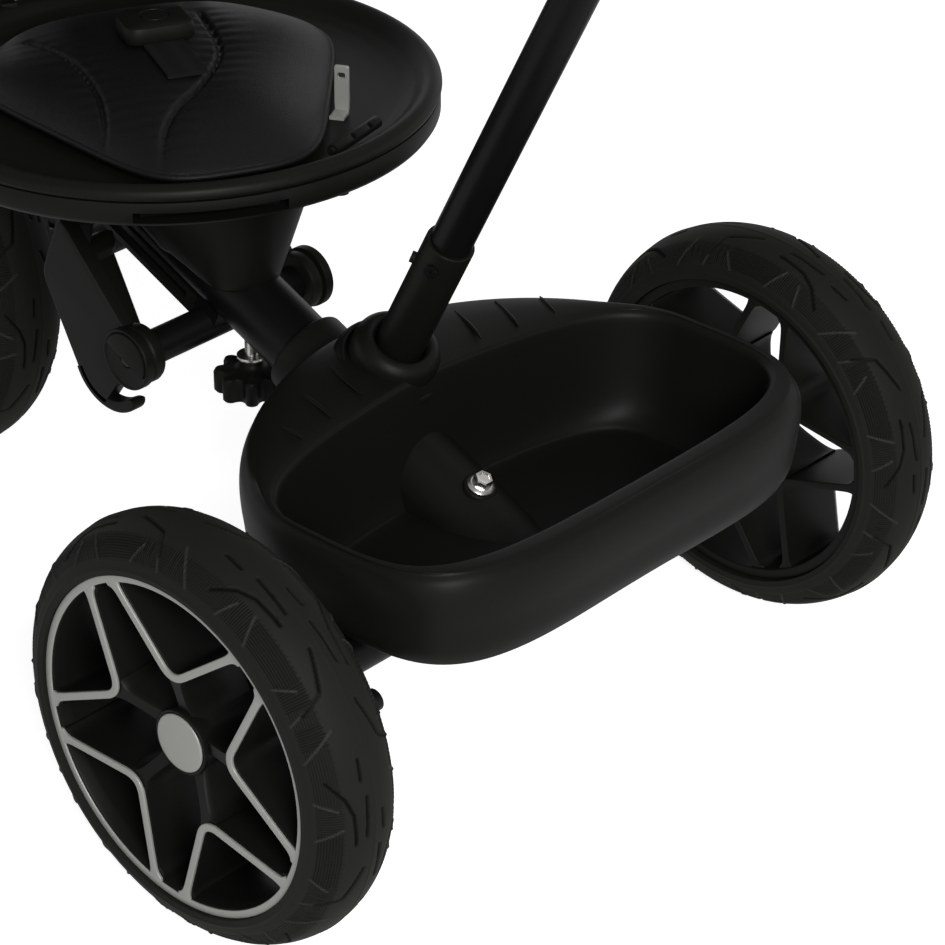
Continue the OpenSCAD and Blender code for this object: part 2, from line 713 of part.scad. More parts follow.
// A grooved strut beside the tube on each side, from the crossbar forward.
strut_len = 103;
strut_in = tube_r - 20;
module footrest_struts() {
    color(black_plastic) place() both_sides() difference() {
        along_tube(crossbar_at + crossbar_r - 3) translate([strut_in, -crossbar_drop - 3, 0])
            cube([12, 15, strut_len]);
        along_tube(crossbar_at + crossbar_r + 10) translate([strut_in + 8, -crossbar_drop + 1, 0])
            cube([6, 7, strut_len - 24]);
        on_crossbar() bar_across(0, crossbar_w, crossbar_r + seat_gap);
        along_tube(0) cylinder(r = tube_r + seat_gap, h = bend_one_at);
        along_tube(crossbar_at - 20) translate([-16.2, -crossbar_drop - 3, 9])
            cube([32.4, crossbar_drop, 21]);
    }
}

pivot_screw_len = 16;
pivot_cap_r = pivot_cap_d / 2;
module pivot_caps() {
    color(black_plastic) place() on_crossbar() both_sides() translate([crossbar_w / 2, 0, 0]) difference() {
        union() {
            bar_across(0, pivot_cap_t, pivot_cap_r);
            translate([pivot_cap_t - 0.5, 0, 0]) rotate([-25, 0, 0]) difference() {
                bar_across(0, 2, pivot_cap_r - 1.5);
                translate([-1, -pivot_cap_d, -pivot_cap_d]) cube([4, 2 * pivot_cap_d, pivot_cap_d]);
            }
        }
        translate([pivot_cap_t - 3, 0, 0]) bar_across(0, 6, 5.5);
        bar_across(-1, pivot_cap_t, 2.5);
    }
}
module pivot_screws() {
    color(steel) place() on_crossbar() both_sides() translate([crossbar_w / 2, 0, 0]) difference() {
        union() {
            bar_across(1 - pivot_screw_len, pivot_cap_t - 2.5, 2.45);
            translate([pivot_cap_t - 3, 0, 0]) bar_across(0.05, 2.4, 4.6);
        }
        translate([pivot_cap_t - 1.8, -0.5, -2.6]) cube([3, 1, 5.2]);
        translate([pivot_cap_t - 1.8, -2.6, -0.5]) cube([3, 5.2, 1]);
    }
}

// Footrests: a bent pad on a cheek that turns on the crossbar and ends in a hook.
barrel_gap = 0.5;
barrel_end = crossbar_w / 2 - barrel_gap;
cheek_t = 10;
cheek_at = [-24, -14];
knee_at = [-66, 30];
knee_r = 14;
tip_at = [-61, footrest_rise];
tip_r = 5;
inner_rise = 44;
outer_pad_w = 26;
pad_foot = 36;
module footrest_side() {
    hull() {
        translate(cheek_at) circle(r = cheek_r);
        translate(knee_at) circle(r = knee_r);
        translate(tip_at) circle(r = tip_r);
    }
}
// The pad lies along the front of the side, down to where the cheek turns back.
module pad_flat(high) {
    back = footrest_t * [sin(footrest_lean), cos(footrest_lean)];
    intersection() {
        difference() {
            footrest_side();
            translate(back) footrest_side();
        }
        translate([-200, -100]) square([200 - pad_foot, 100 + high]);
    }
}
module cheek_flat() {
    difference() {
        union() {
            footrest_side();
            circle(r = pivot_cap_r - 1);
        }
        hull() {
            translate(cheek_at + [14, -14]) circle(r = 6.5);
            translate(cheek_at + [38, -7]) circle(r = 7);
        }
    }
}
module footrest() {
    x0 = barrel_end - footrest_w;
    difference() {
        union() {
            translate([x0, 0, 0]) rotate([90, 0, 90]) linear_extrude(footrest_w) pad_flat(inner_rise);
            translate([barrel_end - outer_pad_w, 0, 0]) rotate([90, 0, 90])
                linear_extrude(outer_pad_w - 0.5) pad_flat(100);
            translate([barrel_end - cheek_t, 0, 0]) rotate([90, 0, 90]) linear_extrude(cheek_t)
                offset(delta = 0.3) cheek_flat();
        }
        bar_across(x0 - 1, barrel_end + 1, crossbar_r + run_gap);
    }
}
module left_footrest() { color(black_plastic) place() on_crossbar() footrest(); }
module right_footrest() { color(black_plastic) place() on_crossbar() mirror([1, 0, 0]) footrest(); }

// Star knob on the stud that clamps the pedestal.
lobes = 8;
lobe_r = 6;
module star_knob() {
    color(black_plastic) place() translate([0, -stud_at, knob_bottom]) difference() {
        union() {
            cylinder(r = knob_d / 2 - 5, h = knob_t);
            for (k = [0 : lobes - 1]) rotate(360 * k / lobes) translate([knob_d / 2 - lobe_r, 0, 0])
                cylinder(r = lobe_r, h = knob_t);
            cylinder(r = 7, h = knob_t + 7);
        }
        translate([0, 0, knob_t - 10]) cylinder(r = stud_r + seat_gap, h = 30);
    }
}
module clamp_stud() {
    low = knob_top - 9;
    color(steel) place() translate([0, -stud_at, 0]) {
        translate([0, 0, low]) cylinder(r = stud_r, h = stud_meet_h + tube_r + 12 - low);
        translate([0, 0, knob_top + 7.05]) cylinder(r = stud_r + 5, h = 2);
    }
}

// Parking brake: a foot lever that turns on the axle housing.
brake_w = 26;
brake_from_wheel = 83.5;
brake_at = track / 2 - brake_from_wheel;
module brake_lever() {
    color(black_plastic) place() translate([brake_at, 0, rear_r]) difference() {
        union() {
            bar_across(0, brake_w, housing_r + 2.2);
            rotate([-3, 0, 0]) {
                translate([1, housing_r - 2, -5]) cube([brake_w - 2, 30, 9]);
                translate([0, housing_r + 28, -0.5]) bar_across(0.5, brake_w - 0.5, 6.5);
            }
        }
        bar_across(-1, brake_w + 1, housing_r + run_gap);
    }
}

// Fork and steering
leg_w = 34;
eye_r = 20;
fork_bush_r = crank_axle_d / 2 + 3;
module fork() {
    color(black_plastic) place() difference() {
        along_steering() {
            both_sides() translate([leg_in, 0, 0]) {
                bar_across(0, fork_leg_t, eye_r);
                translate([0, 0, 0]) rotate([90, 0, 90]) linear_extrude(fork_leg_t)
                    polygon([[-eye_r + 1.5, 0], [eye_r - 1.5, 0], [leg_w / 2 + 6, crown_bottom],
                        [-leg_w / 2 - 6, crown_bottom]]);
            }
            translate([-leg_out, -leg_w / 2 - 6, crown_bottom - 1])
                cube([2 * leg_out, leg_w + 12, crown_t]);
            translate([0, 0, crown_bottom])
                cylinder(r = head_tube_r, h = head_bottom - headset_flange_t - free_gap - crown_bottom);
        }
        along_steering() bar_across(-leg_out - 1, leg_out + 1, fork_bush_r + seat_gap);
        along_steering(crown_bottom + 3) cylinder(r = column_r + seat_gap, h = head_tube_len);
    }
}
module fork_bushes() {
    color(steel) place() along_steering() both_sides() difference() {
        bar_across(leg_in, leg_out, fork_bush_r);
        bar_across(leg_in - 1, leg_out + 1, crank_axle_d / 2 + run_gap);
    }
}

pin_len = 11;
pin_arm_t = 1.8;
// A pin beside an axis, on a short arm above it, that drives one end of the steering link.
module drive_pin(shaft_r) {
    translate([link_offset, 0, -pin_len / 2]) cylinder(r = link_pin_r, h = pin_len + pin_arm_t);
    translate([shaft_r - 3, -3, pin_len / 2]) cube([link_offset - shaft_r + 3, 6, pin_arm_t]);
}
module steering_column() {
    low = crown_bottom + 3.5;
    color(steel) place() {
        along_steering(low) cylinder(r = column_r, h = column_top - low);
        along_steering(head_meet_h) drive_pin(column_r);
    }
}

stem_h = 30;
module handlebar_stem() {
    color(black_plastic) place() along_steering(column_top - stem_h / 2 - 4) difference() {
        union() {
            translate([0, 0, -stem_h / 2]) cylinder(r = column_r + 7, h = stem_h);
            translate([-15, -stem_reach, -9]) cube([30, stem_reach, 18]);
            translate([0, -stem_reach, 0]) bar_across(-20, 20, bar_r + 6);
        }
        translate([0, 0, -stem_h / 2 - 1]) cylinder(r = column_r + seat_gap, h = stem_h + 2);
        translate([0, -stem_reach, 0]) bar_across(-22, 22, bar_r + seat_gap);
    }
}

// Handlebar: a tube swept along a bent line, straight in its middle and where the grips sit.
bar_mid = 42;
bar_straight = bar_w / 2 - grip_len - 6;
function ease(u) = u <= 0 ? 0 : u >= 1 ? 1 : u * u * (3 - 2 * u);
function bar_lift(x) = ease((abs(x) - bar_mid) / (bar_straight - bar_mid));
bar_sections = 40;
bar_sides = 16;
module handlebar() {
    xs = [for (i = [0 : bar_sections]) bar_w * (i / bar_sections - 0.5)];
    color(black_paint) place() along_steering(column_top - stem_h / 2 - 4)
        translate([0, -stem_reach, 0]) skin(
        [for (x = xs) [for (k = [0 : bar_sides - 1])
            let (t = 360 * k / bar_sides)
            [x, bar_sweep * bar_lift(x) + bar_r * cos(t), bar_rise * bar_lift(x) + bar_r * sin(t)]]],
        [-bar_w / 2, bar_sweep, bar_rise], [bar_w / 2, bar_sweep, bar_rise]);
}
module handlebar_grips() {
    color(black_plastic) place() along_steering(column_top - stem_h / 2 - 4)
        translate([0, bar_sweep - stem_reach, bar_rise]) both_sides() difference() {
            union() {
                bar_across(bar_w / 2 - grip_len, bar_w / 2 + 3, grip_d / 2);
                bar_across(bar_w / 2 - grip_len, bar_w / 2 - grip_len + 4, grip_d / 2 + 5);
                bar_across(bar_w / 2 - 4, bar_w / 2 + 4, grip_d / 2 + 2);
            }
            bar_across(bar_w / 2 - grip_len - 1, bar_w / 2 + 0.1, bar_r + seat_gap);
        }
}

// Front wheel with its cranks
module front_rim() {
    color(black_plastic) place() on_front_axle()
        rim(front_r, crank_axle_d / 2 + seat_gap, arm_drop - rim_w / 2, true, spoke_phase);
}
module front_tyre() { color(tyre_rubber) place() on_front_axle() tyre(front_r); }
module front_trims() {
    color(silver) place() on_front_axle() {
        trim(front_r, spoke_phase);
        mirror([0, 0, 1]) trim(front_r, spoke_phase);
    }
}
crank_out = crank_in + crank_t;
module crank_axle() {
    color(steel) place() translate([0, -wheelbase, front_r])
        bar_across(-crank_out - 2, crank_out + 2, crank_axle_d / 2);
}
pedal_in = crank_out + 3;
crank_boss_r = crank_axle_d / 2 + 8;
crank_end_r = pedal_spindle_d / 2 + 6;
module crank() {
    difference() {
        union() {
            bar_across(crank_in, crank_out, crank_boss_r);
            translate([crank_in + 1, -crank_len, -8]) cube([crank_t - 2, crank_len, 16]);
            translate([0, -crank_len, 0]) bar_across(crank_in, crank_out, crank_end_r);
            translate([0, -crank_len, 0]) bar_across(crank_in, pedal_in + pedal_w - 4, pedal_spindle_d / 2);
        }
        bar_across(crank_in - 1, crank_out + 1, crank_axle_d / 2 + seat_gap);
    }
}
module cranks() {
    color(black_paint) place() translate([0, -wheelbase, front_r]) {
        crank();
        rotate([0, 0, 180]) crank();
    }
}
module pedal() {
    spindle_r = pedal_spindle_d / 2 + run_gap;
    translate([pedal_in, 0, 0]) difference() {
        union() {
            translate([0, -pedal_l / 2 + pedal_t / 2, -pedal_t / 2])
                cube([pedal_w, pedal_l - pedal_t, pedal_t]);
            for (end = [-1, 1]) translate([0, end * (pedal_l - pedal_t) / 2, 0])
                bar_across(0, pedal_w, pedal_t / 2);
        }
        bar_across(-1, pedal_w - 3, spindle_r);
        for (end = [-1, 1], face = [-1, 1], k = [-1, 0, 1])
            translate([pedal_w / 2 - 24, end * 17 + k * 5 - 1, face * pedal_t / 2 - 1]) cube([48, 2, 2]);
    }
}
module left_pedal() { color(black_plastic) place() translate([0, -wheelbase - crank_len, front_r])
    pedal(); }
module right_pedal() {
    color(black_plastic) place() translate([0, -wheelbase + crank_len, front_r]) mirror([1, 0, 0]) pedal();
}

// Push handle
module handle_sleeve() {
    color(black_plastic) place() along_handle() difference() {
        union() {
            translate([0, 0, sleeve_bottom]) cylinder(r = sleeve_r, h = sleeve_top - sleeve_bottom);
            translate([0, 0, -pin_len / 2]) cylinder(d = spigot_d, h = sleeve_bottom + pin_len);
            mirror([0, 0, 1]) drive_pin(spigot_d / 2);
        }
        translate([0, 0, fixed_tube_bottom]) cylinder(r = sleeve_in, h = sleeve_top);
        translate([0, 0, screw_at]) rotate(screw_turn) bar_across(0, sleeve_r + 2, screw_r + seat_gap);
        translate([0, 0, button_at]) rotate(button_turn) bar_across(0, sleeve_r + 2, button_r + run_gap);
    }
}
screw_at = sleeve_top - 13;
screw_r = 2;
screw_turn = 18;
button_at = sleeve_top - 22;
button_r = 3.5;
button_out = 2.2;
button_turn = -58;
module handle_tube() {
    color(black_paint) place() along_handle() difference() {
        translate([0, 0, fixed_tube_bottom + 0.2])
            ring(handle_tube_r, handle_tube_r - handle_tube_wall, fixed_tube_top - fixed_tube_bottom);
        translate([0, 0, screw_at]) rotate(screw_turn) bar_across(0, sleeve_r + 2, screw_r + seat_gap);
        translate([0, 0, button_at]) rotate(button_turn) bar_across(0, sleeve_r + 2, button_r + run_gap);
    }
}
module sleeve_screw() {
    color(steel) place() along_handle(screw_at) rotate(screw_turn) rotate([0, 90, 0]) difference() {
        union() {
            translate([0, 0, handle_tube_r - 5]) cylinder(r = screw_r, h = sleeve_wall + 5.2);
            translate([0, 0, sleeve_r + seat_gap]) cylinder(r = 4, h = 1.9);
        }
        translate([-2.2, -0.4, sleeve_r + 0.9]) cube([4.4, 0.8, 2]);
        translate([-0.4, -2.2, sleeve_r + 0.9]) cube([0.8, 4.4, 2]);
    }
}
// Spring button that locks the tube in the sleeve, with its foot inside the tube.
module handle_button() {
    color(black_plastic) place() along_handle(button_at) rotate(button_turn) {
        bar_across(handle_tube_r - handle_tube_wall - 2.5, sleeve_r + button_out, button_r);
        bar_across(handle_tube_r - handle_tube_wall - 4.6, handle_tube_r - handle_tube_wall - 1.7,
            button_r + 1.2);
    }
}
module sliding_tube() {
    color(steel) place() along_handle(slide_bottom) ring(slide_tube_r, slide_tube_r - 1.6, slide_tube_len);
}
module cross_grip() {
    half = cross_grip_w / 2;
    r = cross_grip_d / 2;
    color(black_plastic) place() along_handle() difference() {
        union() {
            translate([0, 0, cross_grip_h]) {
                bar_across(-half + r, half - r, r);
                for (end = [-1, 1]) translate([end * (half - r), 0, 0]) sphere(r = r);
            }
            translate([0, 0, slide_top - 40]) cylinder(r = slide_tube_r + 4, h = 46);
        }
        translate([0, 0, slide_top - 42]) cylinder(r = slide_tube_r + seat_gap, h = 42 + seat_gap);
    }
}

// Steering link: a rod inside the main tube with two prongs around the pin at each end.
prong_t = 2.5;
prong_reach = 6;
module prongs() {
    half = link_pin_r + link_play;
    for (side = [-1, 1]) translate([link_offset - prong_reach / 2 - 0.5,
        side * (half + prong_t / 2) - prong_t / 2, -2.5])
        cube([prong_reach, prong_t, 5]);
    translate([link_offset + link_pin_r + 0.05, -half - prong_t, -2]) cube([1.1, 2 * (half + prong_t), 4]);
}
module steering_link() {
    half = link_pin_r + link_play;
    start = handle_meet_at + half + prong_t - 1;
    color(steel) place() {
        along_handle() prongs();
        along_steering(head_meet_h) {
            prongs();
            translate([link_offset - prong_reach / 2 - 0.5, half, -6]) cube([prong_reach, prong_t, 6]);
        }
        translate([link_offset - 1, 0, 0]) {
            along_tube(start) cylinder(r = link_r, h = bend_one_at - start);
            along_level() sphere(r = link_r + 0.2);
            along_level() cylinder(r = link_r, h = level_len);
            along_rise() sphere(r = link_r + 0.2);
            along_rise() cylinder(r = link_r, h = rise_len - half - prong_t - 0.1);
        }
    }
}

// Seat
module seat_base() {
    r = pan_r;
    b = band_bottom;
    t = pan_wall;
    color(black_plastic) place() on_seat() difference() {
        union() {
            rotate_extrude() polygon([
                [swivel_boss_r + run_gap, pan_bottom], [r - 19, pan_bottom], [r - 2, b], [r, b + 3],
                    [r, parting_h - 0.2],
                [r - t, parting_h - 0.2], [r - t, b + 4], [r - 20, pan_bottom + t],
                    [swivel_boss_r + run_gap, pan_bottom + t]]);
            for (x = [-24, 18]) rotate(lever_turn) translate([x, -r + 21, pan_bottom + t - 0.5])
                cube([6, 60, lever_low - pan_bottom - t + 0.5 - 0.3]);
            rotate(stop_turn) translate([0, -r + 14, b - 5.5]) cylinder(r = 5, h = 7);
        }
        rotate(lever_turn) translate([-lever_half - 4, -r - 1, lever_low - 0.8])
            cube([2 * lever_half + 8, 20, lever_t + 1.6]);
    }
}
stop_turn = 24;
lever_turn = -8.5;
lever_half = 40;
lever_t = 5;
lever_back = 11;
lever_low = band_bottom + 2.6;
module swivel_lever() {
    color(black_plastic) place() on_seat() rotate(lever_turn) {
        translate([-lever_half, lever_back - pan_r, lever_low])
            cube([2 * lever_half, 32.5 - lever_back, lever_t]);
        translate([-12, -pan_r + 30, lever_low]) cube([24, 46, lever_t - 1]);
    }
}

dish_inner = pan_r - 16;
module seat_dish() {
    r = pan_r;
    p = parting_h;
    ear_in = hinge_barrel_half + 0.5;
    color(black_plastic) place() on_seat() difference() {
        union() {
            rotate_extrude() polygon([
                [0, dish_top - 3], [r - pan_wall - 0.6, dish_top - 3], [r - pan_wall - 0.6, p + 0.1],
                    [r, p + 0.1],
                [r + 1, p + 3.5], [r - 0.5, p + 7.5], [r - 5, p + 9.5], [r - 9, p + 8],
                [dish_inner, p + 0.5], [r - 31, dish_top + 0.3], [0, dish_top]]);
            both_sides() {
                translate([ear_in, hinge_y, hinge_h]) bar_across(0, 10, 9);
                translate([ear_in, hinge_y - 9, p + 2]) cube([10, 18, hinge_h - p - 2]);
            }
        }
        translate([0, hinge_y, hinge_h]) bar_across(-pan_r, pan_r, hinge_pin_r + seat_gap);
    }
}

// Seat cushion: a rounded wedge from five straight edges, crowned, with two sewn channels.
cushion_steps = 48;
cushion_side = 95.5;
cushion_taper = 22.2;
cushion_rear_side = 118;
cushion_rear = 112;
edge_power = 9;
function edge_sum(d, edges) = [for (e = edges) pow(max(0, d[0] * e[0] + d[1] * e[1]) / e[2], edge_power)];
function total(list, i = 0) = i < len(list) ? list[i] + total(list, i + 1) : 0;
cushion_edges = [
    [0, -1, cushion_front], [0, 1, cushion_rear],
    [cos(cushion_taper), -sin(cushion_taper), cushion_side],
        [-cos(cushion_taper), -sin(cushion_taper), cushion_side],
    [cos(36), sin(36), cushion_rear_side], [-cos(36), sin(36), cushion_rear_side]];
function cushion_r(t) = pow(total(edge_sum([cos(t), sin(t)], cushion_edges)), -1 / edge_power);
channel_x = 34;
channel_depth = 3.5;
channel_half = 7;
function channel(x, y) = exp(-pow((abs(x) - channel_x - 14 * pow(y / cushion_front, 2)) / channel_half, 2));
function cushion_top(x, y, share) = pad_bottom + 6 + (cushion_crown - 6) * pow(1 - pow(share, 3.2), 0.6)
    - channel_depth * channel(x, y) * (1 - pow(share, 4));
function cushion_top_ring(share) = [for (k = [0 : cushion_steps - 1])
    let (t = 360 * k / cushion_steps, r = cushion_r(t) * share) [r * cos(t), r * sin(t),
        cushion_top(r * cos(t), r * sin(t), share)]];
function cushion_flat_ring(share, h) = [for (k = [0 : cushion_steps - 1])
    let (t = 360 * k / cushion_steps, r = cushion_r(t) * share) [r * cos(t), r * sin(t), h]];
module seat_cushion() {
    color(leatherette) place() on_seat() skin(
        concat([cushion_flat_ring(0.5, pad_bottom), cushion_flat_ring(0.86, pad_bottom),
            cushion_flat_ring(0.97, pad_bottom + 4)],
            [for (share = [1, 0.97, 0.92, 0.85, 0.76, 0.66, 0.55, 0.44, 0.33, 0.22, 0.11])
                cushion_top_ring(share)]),
        [0, 0, pad_bottom], [0, 0, cushion_top(0, 0, 0)]);
}

// Bar with two cross holes and an end screw, beside the cushion.
adjuster_len = 47;
adjuster_r = 3.7;
adjuster_from = [57.4, -129.3];
adjuster_turn = 38;
hole_tilt = 42;
module adjuster_bar() {
    color(black_plastic) place() on_seat()
        translate([adjuster_from.x, adjuster_from.y, parting_h + 4.4]) rotate(adjuster_turn) difference() {
            union() {
                bar_across(0, adjuster_len, adjuster_r);
                bar_across(-2.5, 0.5, adjuster_r - 1.5);
            }
            for (x = [18.5, 36]) translate([x, 0, 0]) rotate([hole_tilt, 0, 0])
                translate([0, 0, -adjuster_r - 1]) cylinder(r = 2, h = 2 * adjuster_r + 2);
        }
}

// Harness: an upright anchor beside the cushion, straps and a buckle.
anchor_r = 107.5;
anchor_turn = 37.2;
anchor_w = 9;
anchor_t = 2.5;
anchor_h = 30;
module harness_anchor() {
    color(silver) place() on_seat() rotate(-anchor_turn)
        translate([anchor_r, 0, dish_top + 0.35]) difference() {
        union() {
            translate([-anchor_w / 2, -anchor_t / 2, 0]) cube([anchor_w, anchor_t, anchor_h]);
            translate([-anchor_w / 2, -anchor_t / 2 - 10, 0]) cube([anchor_w, 10.5, anchor_t]);
        }
        translate([-anchor_w / 2 + 2, -anchor_t, anchor_h - 8]) cube([anchor_w - 4, 2 * anchor_t, 4]);
    }
}
function strap_ring(c, across, out, w, t) = [
    c - across * w / 2, c + across * w / 2, c + across * w / 2 + out * t, c - across * w / 2 + out * t];
crotch_from = -40;
crotch_to = 10;
strap_steps = 8;
module crotch_strap() {
    ys = [for (i = [0 : strap_steps]) crotch_from + (crotch_to - crotch_from) * i / strap_steps];
    hs = [for (y = ys) cushion_top(0, y, abs(y) / cushion_front) + 0.6];
    color(webbing) place() on_seat() skin(
        [for (i = [0 : strap_steps]) strap_ring([0, ys[i], hs[i]], [1, 0, 0], [0, 0, 1], strap_w, strap_t)],
        [0, crotch_from, hs[0] + strap_t / 2], [0, crotch_to, hs[strap_steps] + strap_t / 2]);
}
buckle_w = 44;
buckle_l = 34;
buckle_t = 13;
module harness_buckle() {
    low = cushion_top(0, crotch_to, abs(crotch_to) / cushion_front);
    color(black_plastic) place() on_seat() translate([0, crotch_to + 0.2 + buckle_l / 2, low + 0.5]) {
        hull() for (x = [-1, 1], y = [-1, 1]) translate([x * (buckle_w / 2 - 8), y * (buckle_l / 2 - 8), 2])
            cylinder(r1 = 8, r2 = 6, h = buckle_t - 2, $fn = 32);
        translate([-buckle_w / 4, -buckle_l / 4, 0.2]) cube([buckle_w / 2, buckle_l / 2, 3]);
    }
}
module harness_fittings() {
    harness_buckle();
    harness_anchor();
}

// Backrest: part of a cone around the swivel axis, on a barrel that turns on the recline pin.
hinge_barrel_half = 56;
recline_pin_half = hinge_barrel_half + 10;
module recline_pin() {
    color(steel) place() on_seat() translate([0, hinge_y, hinge_h])
        bar_across(-recline_pin_half, recline_pin_half, hinge_pin_r);
}
backrest_half = 116;
corner_r = 58;
function shell_r(h) = shell_in + (h - hinge_h) * tan(backrest_lean);
module backrest() {
    spread = asin(backrest_half / shell_in) + 4;
    color(black_plastic) place() on_seat() difference() {
        union() {
            intersection() {
                rotate([0, 0, 90 - spread]) rotate_extrude(angle = 2 * spread) polygon([
                    [shell_r(shell_bottom), shell_bottom],
                        [shell_r(shell_bottom) + backrest_t, shell_bottom],
                    [shell_r(shell_top) + backrest_t, shell_top], [shell_r(shell_top), shell_top]]);
                union() {
                    translate([-backrest_half, 0, shell_bottom - 1])
                        cube([2 * backrest_half, 2 * pan_r, backrest_h - corner_r - 13]);
                    translate([-backrest_half + corner_r, 0, shell_bottom])
                        cube([2 * (backrest_half - corner_r), 2 * pan_r, backrest_h]);
                    for (x = [-1, 1]) translate([x * (backrest_half - corner_r), 0, shell_top - corner_r])
                        rotate([-90, 0, 0]) cylinder(r = corner_r, h = 2 * pan_r);
                }
            }
            translate([0, hinge_y, hinge_h]) bar_across(-hinge_barrel_half, hinge_barrel_half, 8);
            translate([-36, shell_in + 2, hinge_h]) cube([72, 9, 22]);
        }
        translate([0, hinge_y, hinge_h]) bar_across(-pan_r, pan_r, hinge_pin_r + run_gap);
    }
}

// Back cushion: a crowned pad on the inner side of the backrest, with two sewn channels.
pad_steps = 40;
pad_spread = 40;
pad_power = 4;
function pad_edge(t) = pow(pow(abs(cos(t)), pad_power) + pow(abs(sin(t)), pad_power), -1 / pad_power);
function pad_point(u, v, off) =
    let (h = (pad_low + pad_high) / 2 + v * (pad_high - pad_low) / 2, r = shell_r(h) - off, a =
        90 + u * pad_spread)
    [r * cos(a), r * sin(a), h];
function pad_swell(u, v, share) = 7 + (back_crown - 7) * pow(1 - pow(share, 3.4), 0.6)
    - channel_depth * exp(-pow((abs(u) - 0.4) / 0.09, 2)) * (1 - pow(share, 4));
function pad_back_ring(share, off) = [for (k = [0 : pad_steps - 1])
    let (t = 360 * k / pad_steps, q = pad_edge(t) * share) pad_point(-q * cos(t), q * sin(t), off)];
function pad_front_ring(share) = [for (k = [0 : pad_steps - 1])
    let (t = 360 * k / pad_steps, q = pad_edge(t) * share, u = -q * cos(t), v = q * sin(t))
        pad_point(u, v, pad_swell(u, v, share) + 0.5)];
module back_cushion() {
    color(leatherette) place() on_seat() mirror([1, 0, 0]) skin(
        concat([for (share = [0.3, 0.6, 0.9]) pad_back_ring(share, 0.9)], [pad_back_ring(0.98, 3)],
            [for (share = [1, 0.97, 0.91, 0.83, 0.73, 0.62, 0.5, 0.38, 0.26, 0.13]) pad_front_ring(share)]),
        pad_point(0, 0, 0.9), pad_point(0, 0, pad_swell(0, 0, 0) + 0.5));
}

// Shoulder straps, hanging in front of the back cushion.
strap_turn = 0.26;
strap_high = 0.72;
strap_low = -0.55;
shoulder_steps = 16;
module shoulder_strap(side) {
    vs = [for (i = [0 : shoulder_steps]) strap_low + (strap_high - strap_low) * i / shoulder_steps];
    centres = [for (v = vs)
        pad_point(side * strap_turn, v, pad_swell(side * strap_turn, v, max(abs(v), strap_turn)) + 1.6)];
    a = 90 + side * strap_turn * pad_spread;
    inward = [-cos(a), -sin(a), 0];
    across = [sin(a), -cos(a), 0];
    skin([for (c = centres) strap_ring(c, across, inward, strap_w, strap_t)],
        centres[0] + inward * strap_t / 2, centres[shoulder_steps] + inward * strap_t / 2);
}
module shoulder_straps() { color(webbing) place() on_seat() for (side = [-1, 1]) shoulder_strap(side); }

main_tube();
head_tube();
headset_bushes();
axle_housing();
rear_axle();
rear_wheel_bushes();
basket();
basket_bolt();
basket_clamp();
handle_collar();
pedestal();
turntable();
footrest_crossbar();
footrest_struts();
pivot_caps();
pivot_screws();
left_rear_rim();
left_rear_tyre();
left_rear_trim();
left_hub_cap();
right_rear_rim();
right_rear_tyre();
right_rear_trim();
right_hub_cap();
fork();
steering_column();
handlebar_stem();
handlebar();
handlebar_grips();
fork_bushes();
front_rim();
front_tyre();
front_trims();
crank_axle();
cranks();
left_pedal();
right_pedal();
handle_sleeve();
handle_tube();
sleeve_screw();
handle_button();
sliding_tube();
cross_grip();
steering_link();
seat_base();
seat_dish();
seat_cushion();
adjuster_bar();
crotch_strap();
harness_fittings();
recline_pin();
swivel_lever();
backrest();
back_cushion();
shoulder_straps();
star_knob();
clamp_stud();
left_footrest();
right_footrest();
brake_lever();
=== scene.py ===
# Toddler push along trike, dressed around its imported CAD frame.
# Shapes are worked out in millimetres from the middle of the rear axle, at floor level, and placed in metres.
import json

import bmesh
import bpy
import numpy as np
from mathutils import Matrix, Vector


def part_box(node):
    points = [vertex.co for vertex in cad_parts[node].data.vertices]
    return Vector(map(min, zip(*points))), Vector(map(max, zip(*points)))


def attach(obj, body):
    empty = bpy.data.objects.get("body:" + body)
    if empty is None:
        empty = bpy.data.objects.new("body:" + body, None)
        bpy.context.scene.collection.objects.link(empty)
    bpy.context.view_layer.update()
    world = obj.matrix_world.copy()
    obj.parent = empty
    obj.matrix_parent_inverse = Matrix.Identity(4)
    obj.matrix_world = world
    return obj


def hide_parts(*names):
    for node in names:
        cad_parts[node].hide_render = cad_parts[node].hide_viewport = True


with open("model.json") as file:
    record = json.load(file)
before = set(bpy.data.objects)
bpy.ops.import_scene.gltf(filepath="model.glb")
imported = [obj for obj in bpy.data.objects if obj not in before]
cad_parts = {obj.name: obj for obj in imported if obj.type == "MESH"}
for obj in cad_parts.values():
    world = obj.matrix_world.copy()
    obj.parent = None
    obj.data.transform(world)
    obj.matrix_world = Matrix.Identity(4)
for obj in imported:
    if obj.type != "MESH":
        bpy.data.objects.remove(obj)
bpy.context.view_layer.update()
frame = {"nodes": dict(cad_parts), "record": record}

# Studio: a pale floor that fades to white, two soft lamps, and a dim sky that the camera sees as white.
# The camera stands behind the trike on its left, as in the photograph.
axle_low, axle_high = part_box("rear_axle")
SHIFT = 500 * (axle_low[1] + axle_high[1])
SENSOR_W, PHOTO_W, FOCAL_PIXELS = 36, 945, 3370


def show(name, data):
    """A new object in the scene."""
    thing = bpy.data.objects.new(name, data)
    bpy.context.scene.collection.objects.link(thing)
    return thing


camera = show("camera", bpy.data.cameras.new("camera"))
camera.data.sensor_width = SENSOR_W
camera.data.lens = FOCAL_PIXELS / PHOTO_W * SENSOR_W
camera.location = (1.23781, 1.1199 + SHIFT / 1000, 1.14064)
camera.rotation_euler = Vector((0.6367, 0.5890, 0.4977)).to_track_quat("Z", "Y").to_euler()
bpy.context.scene.camera = camera
bpy.context.scene.view_settings.view_transform = "Standard"


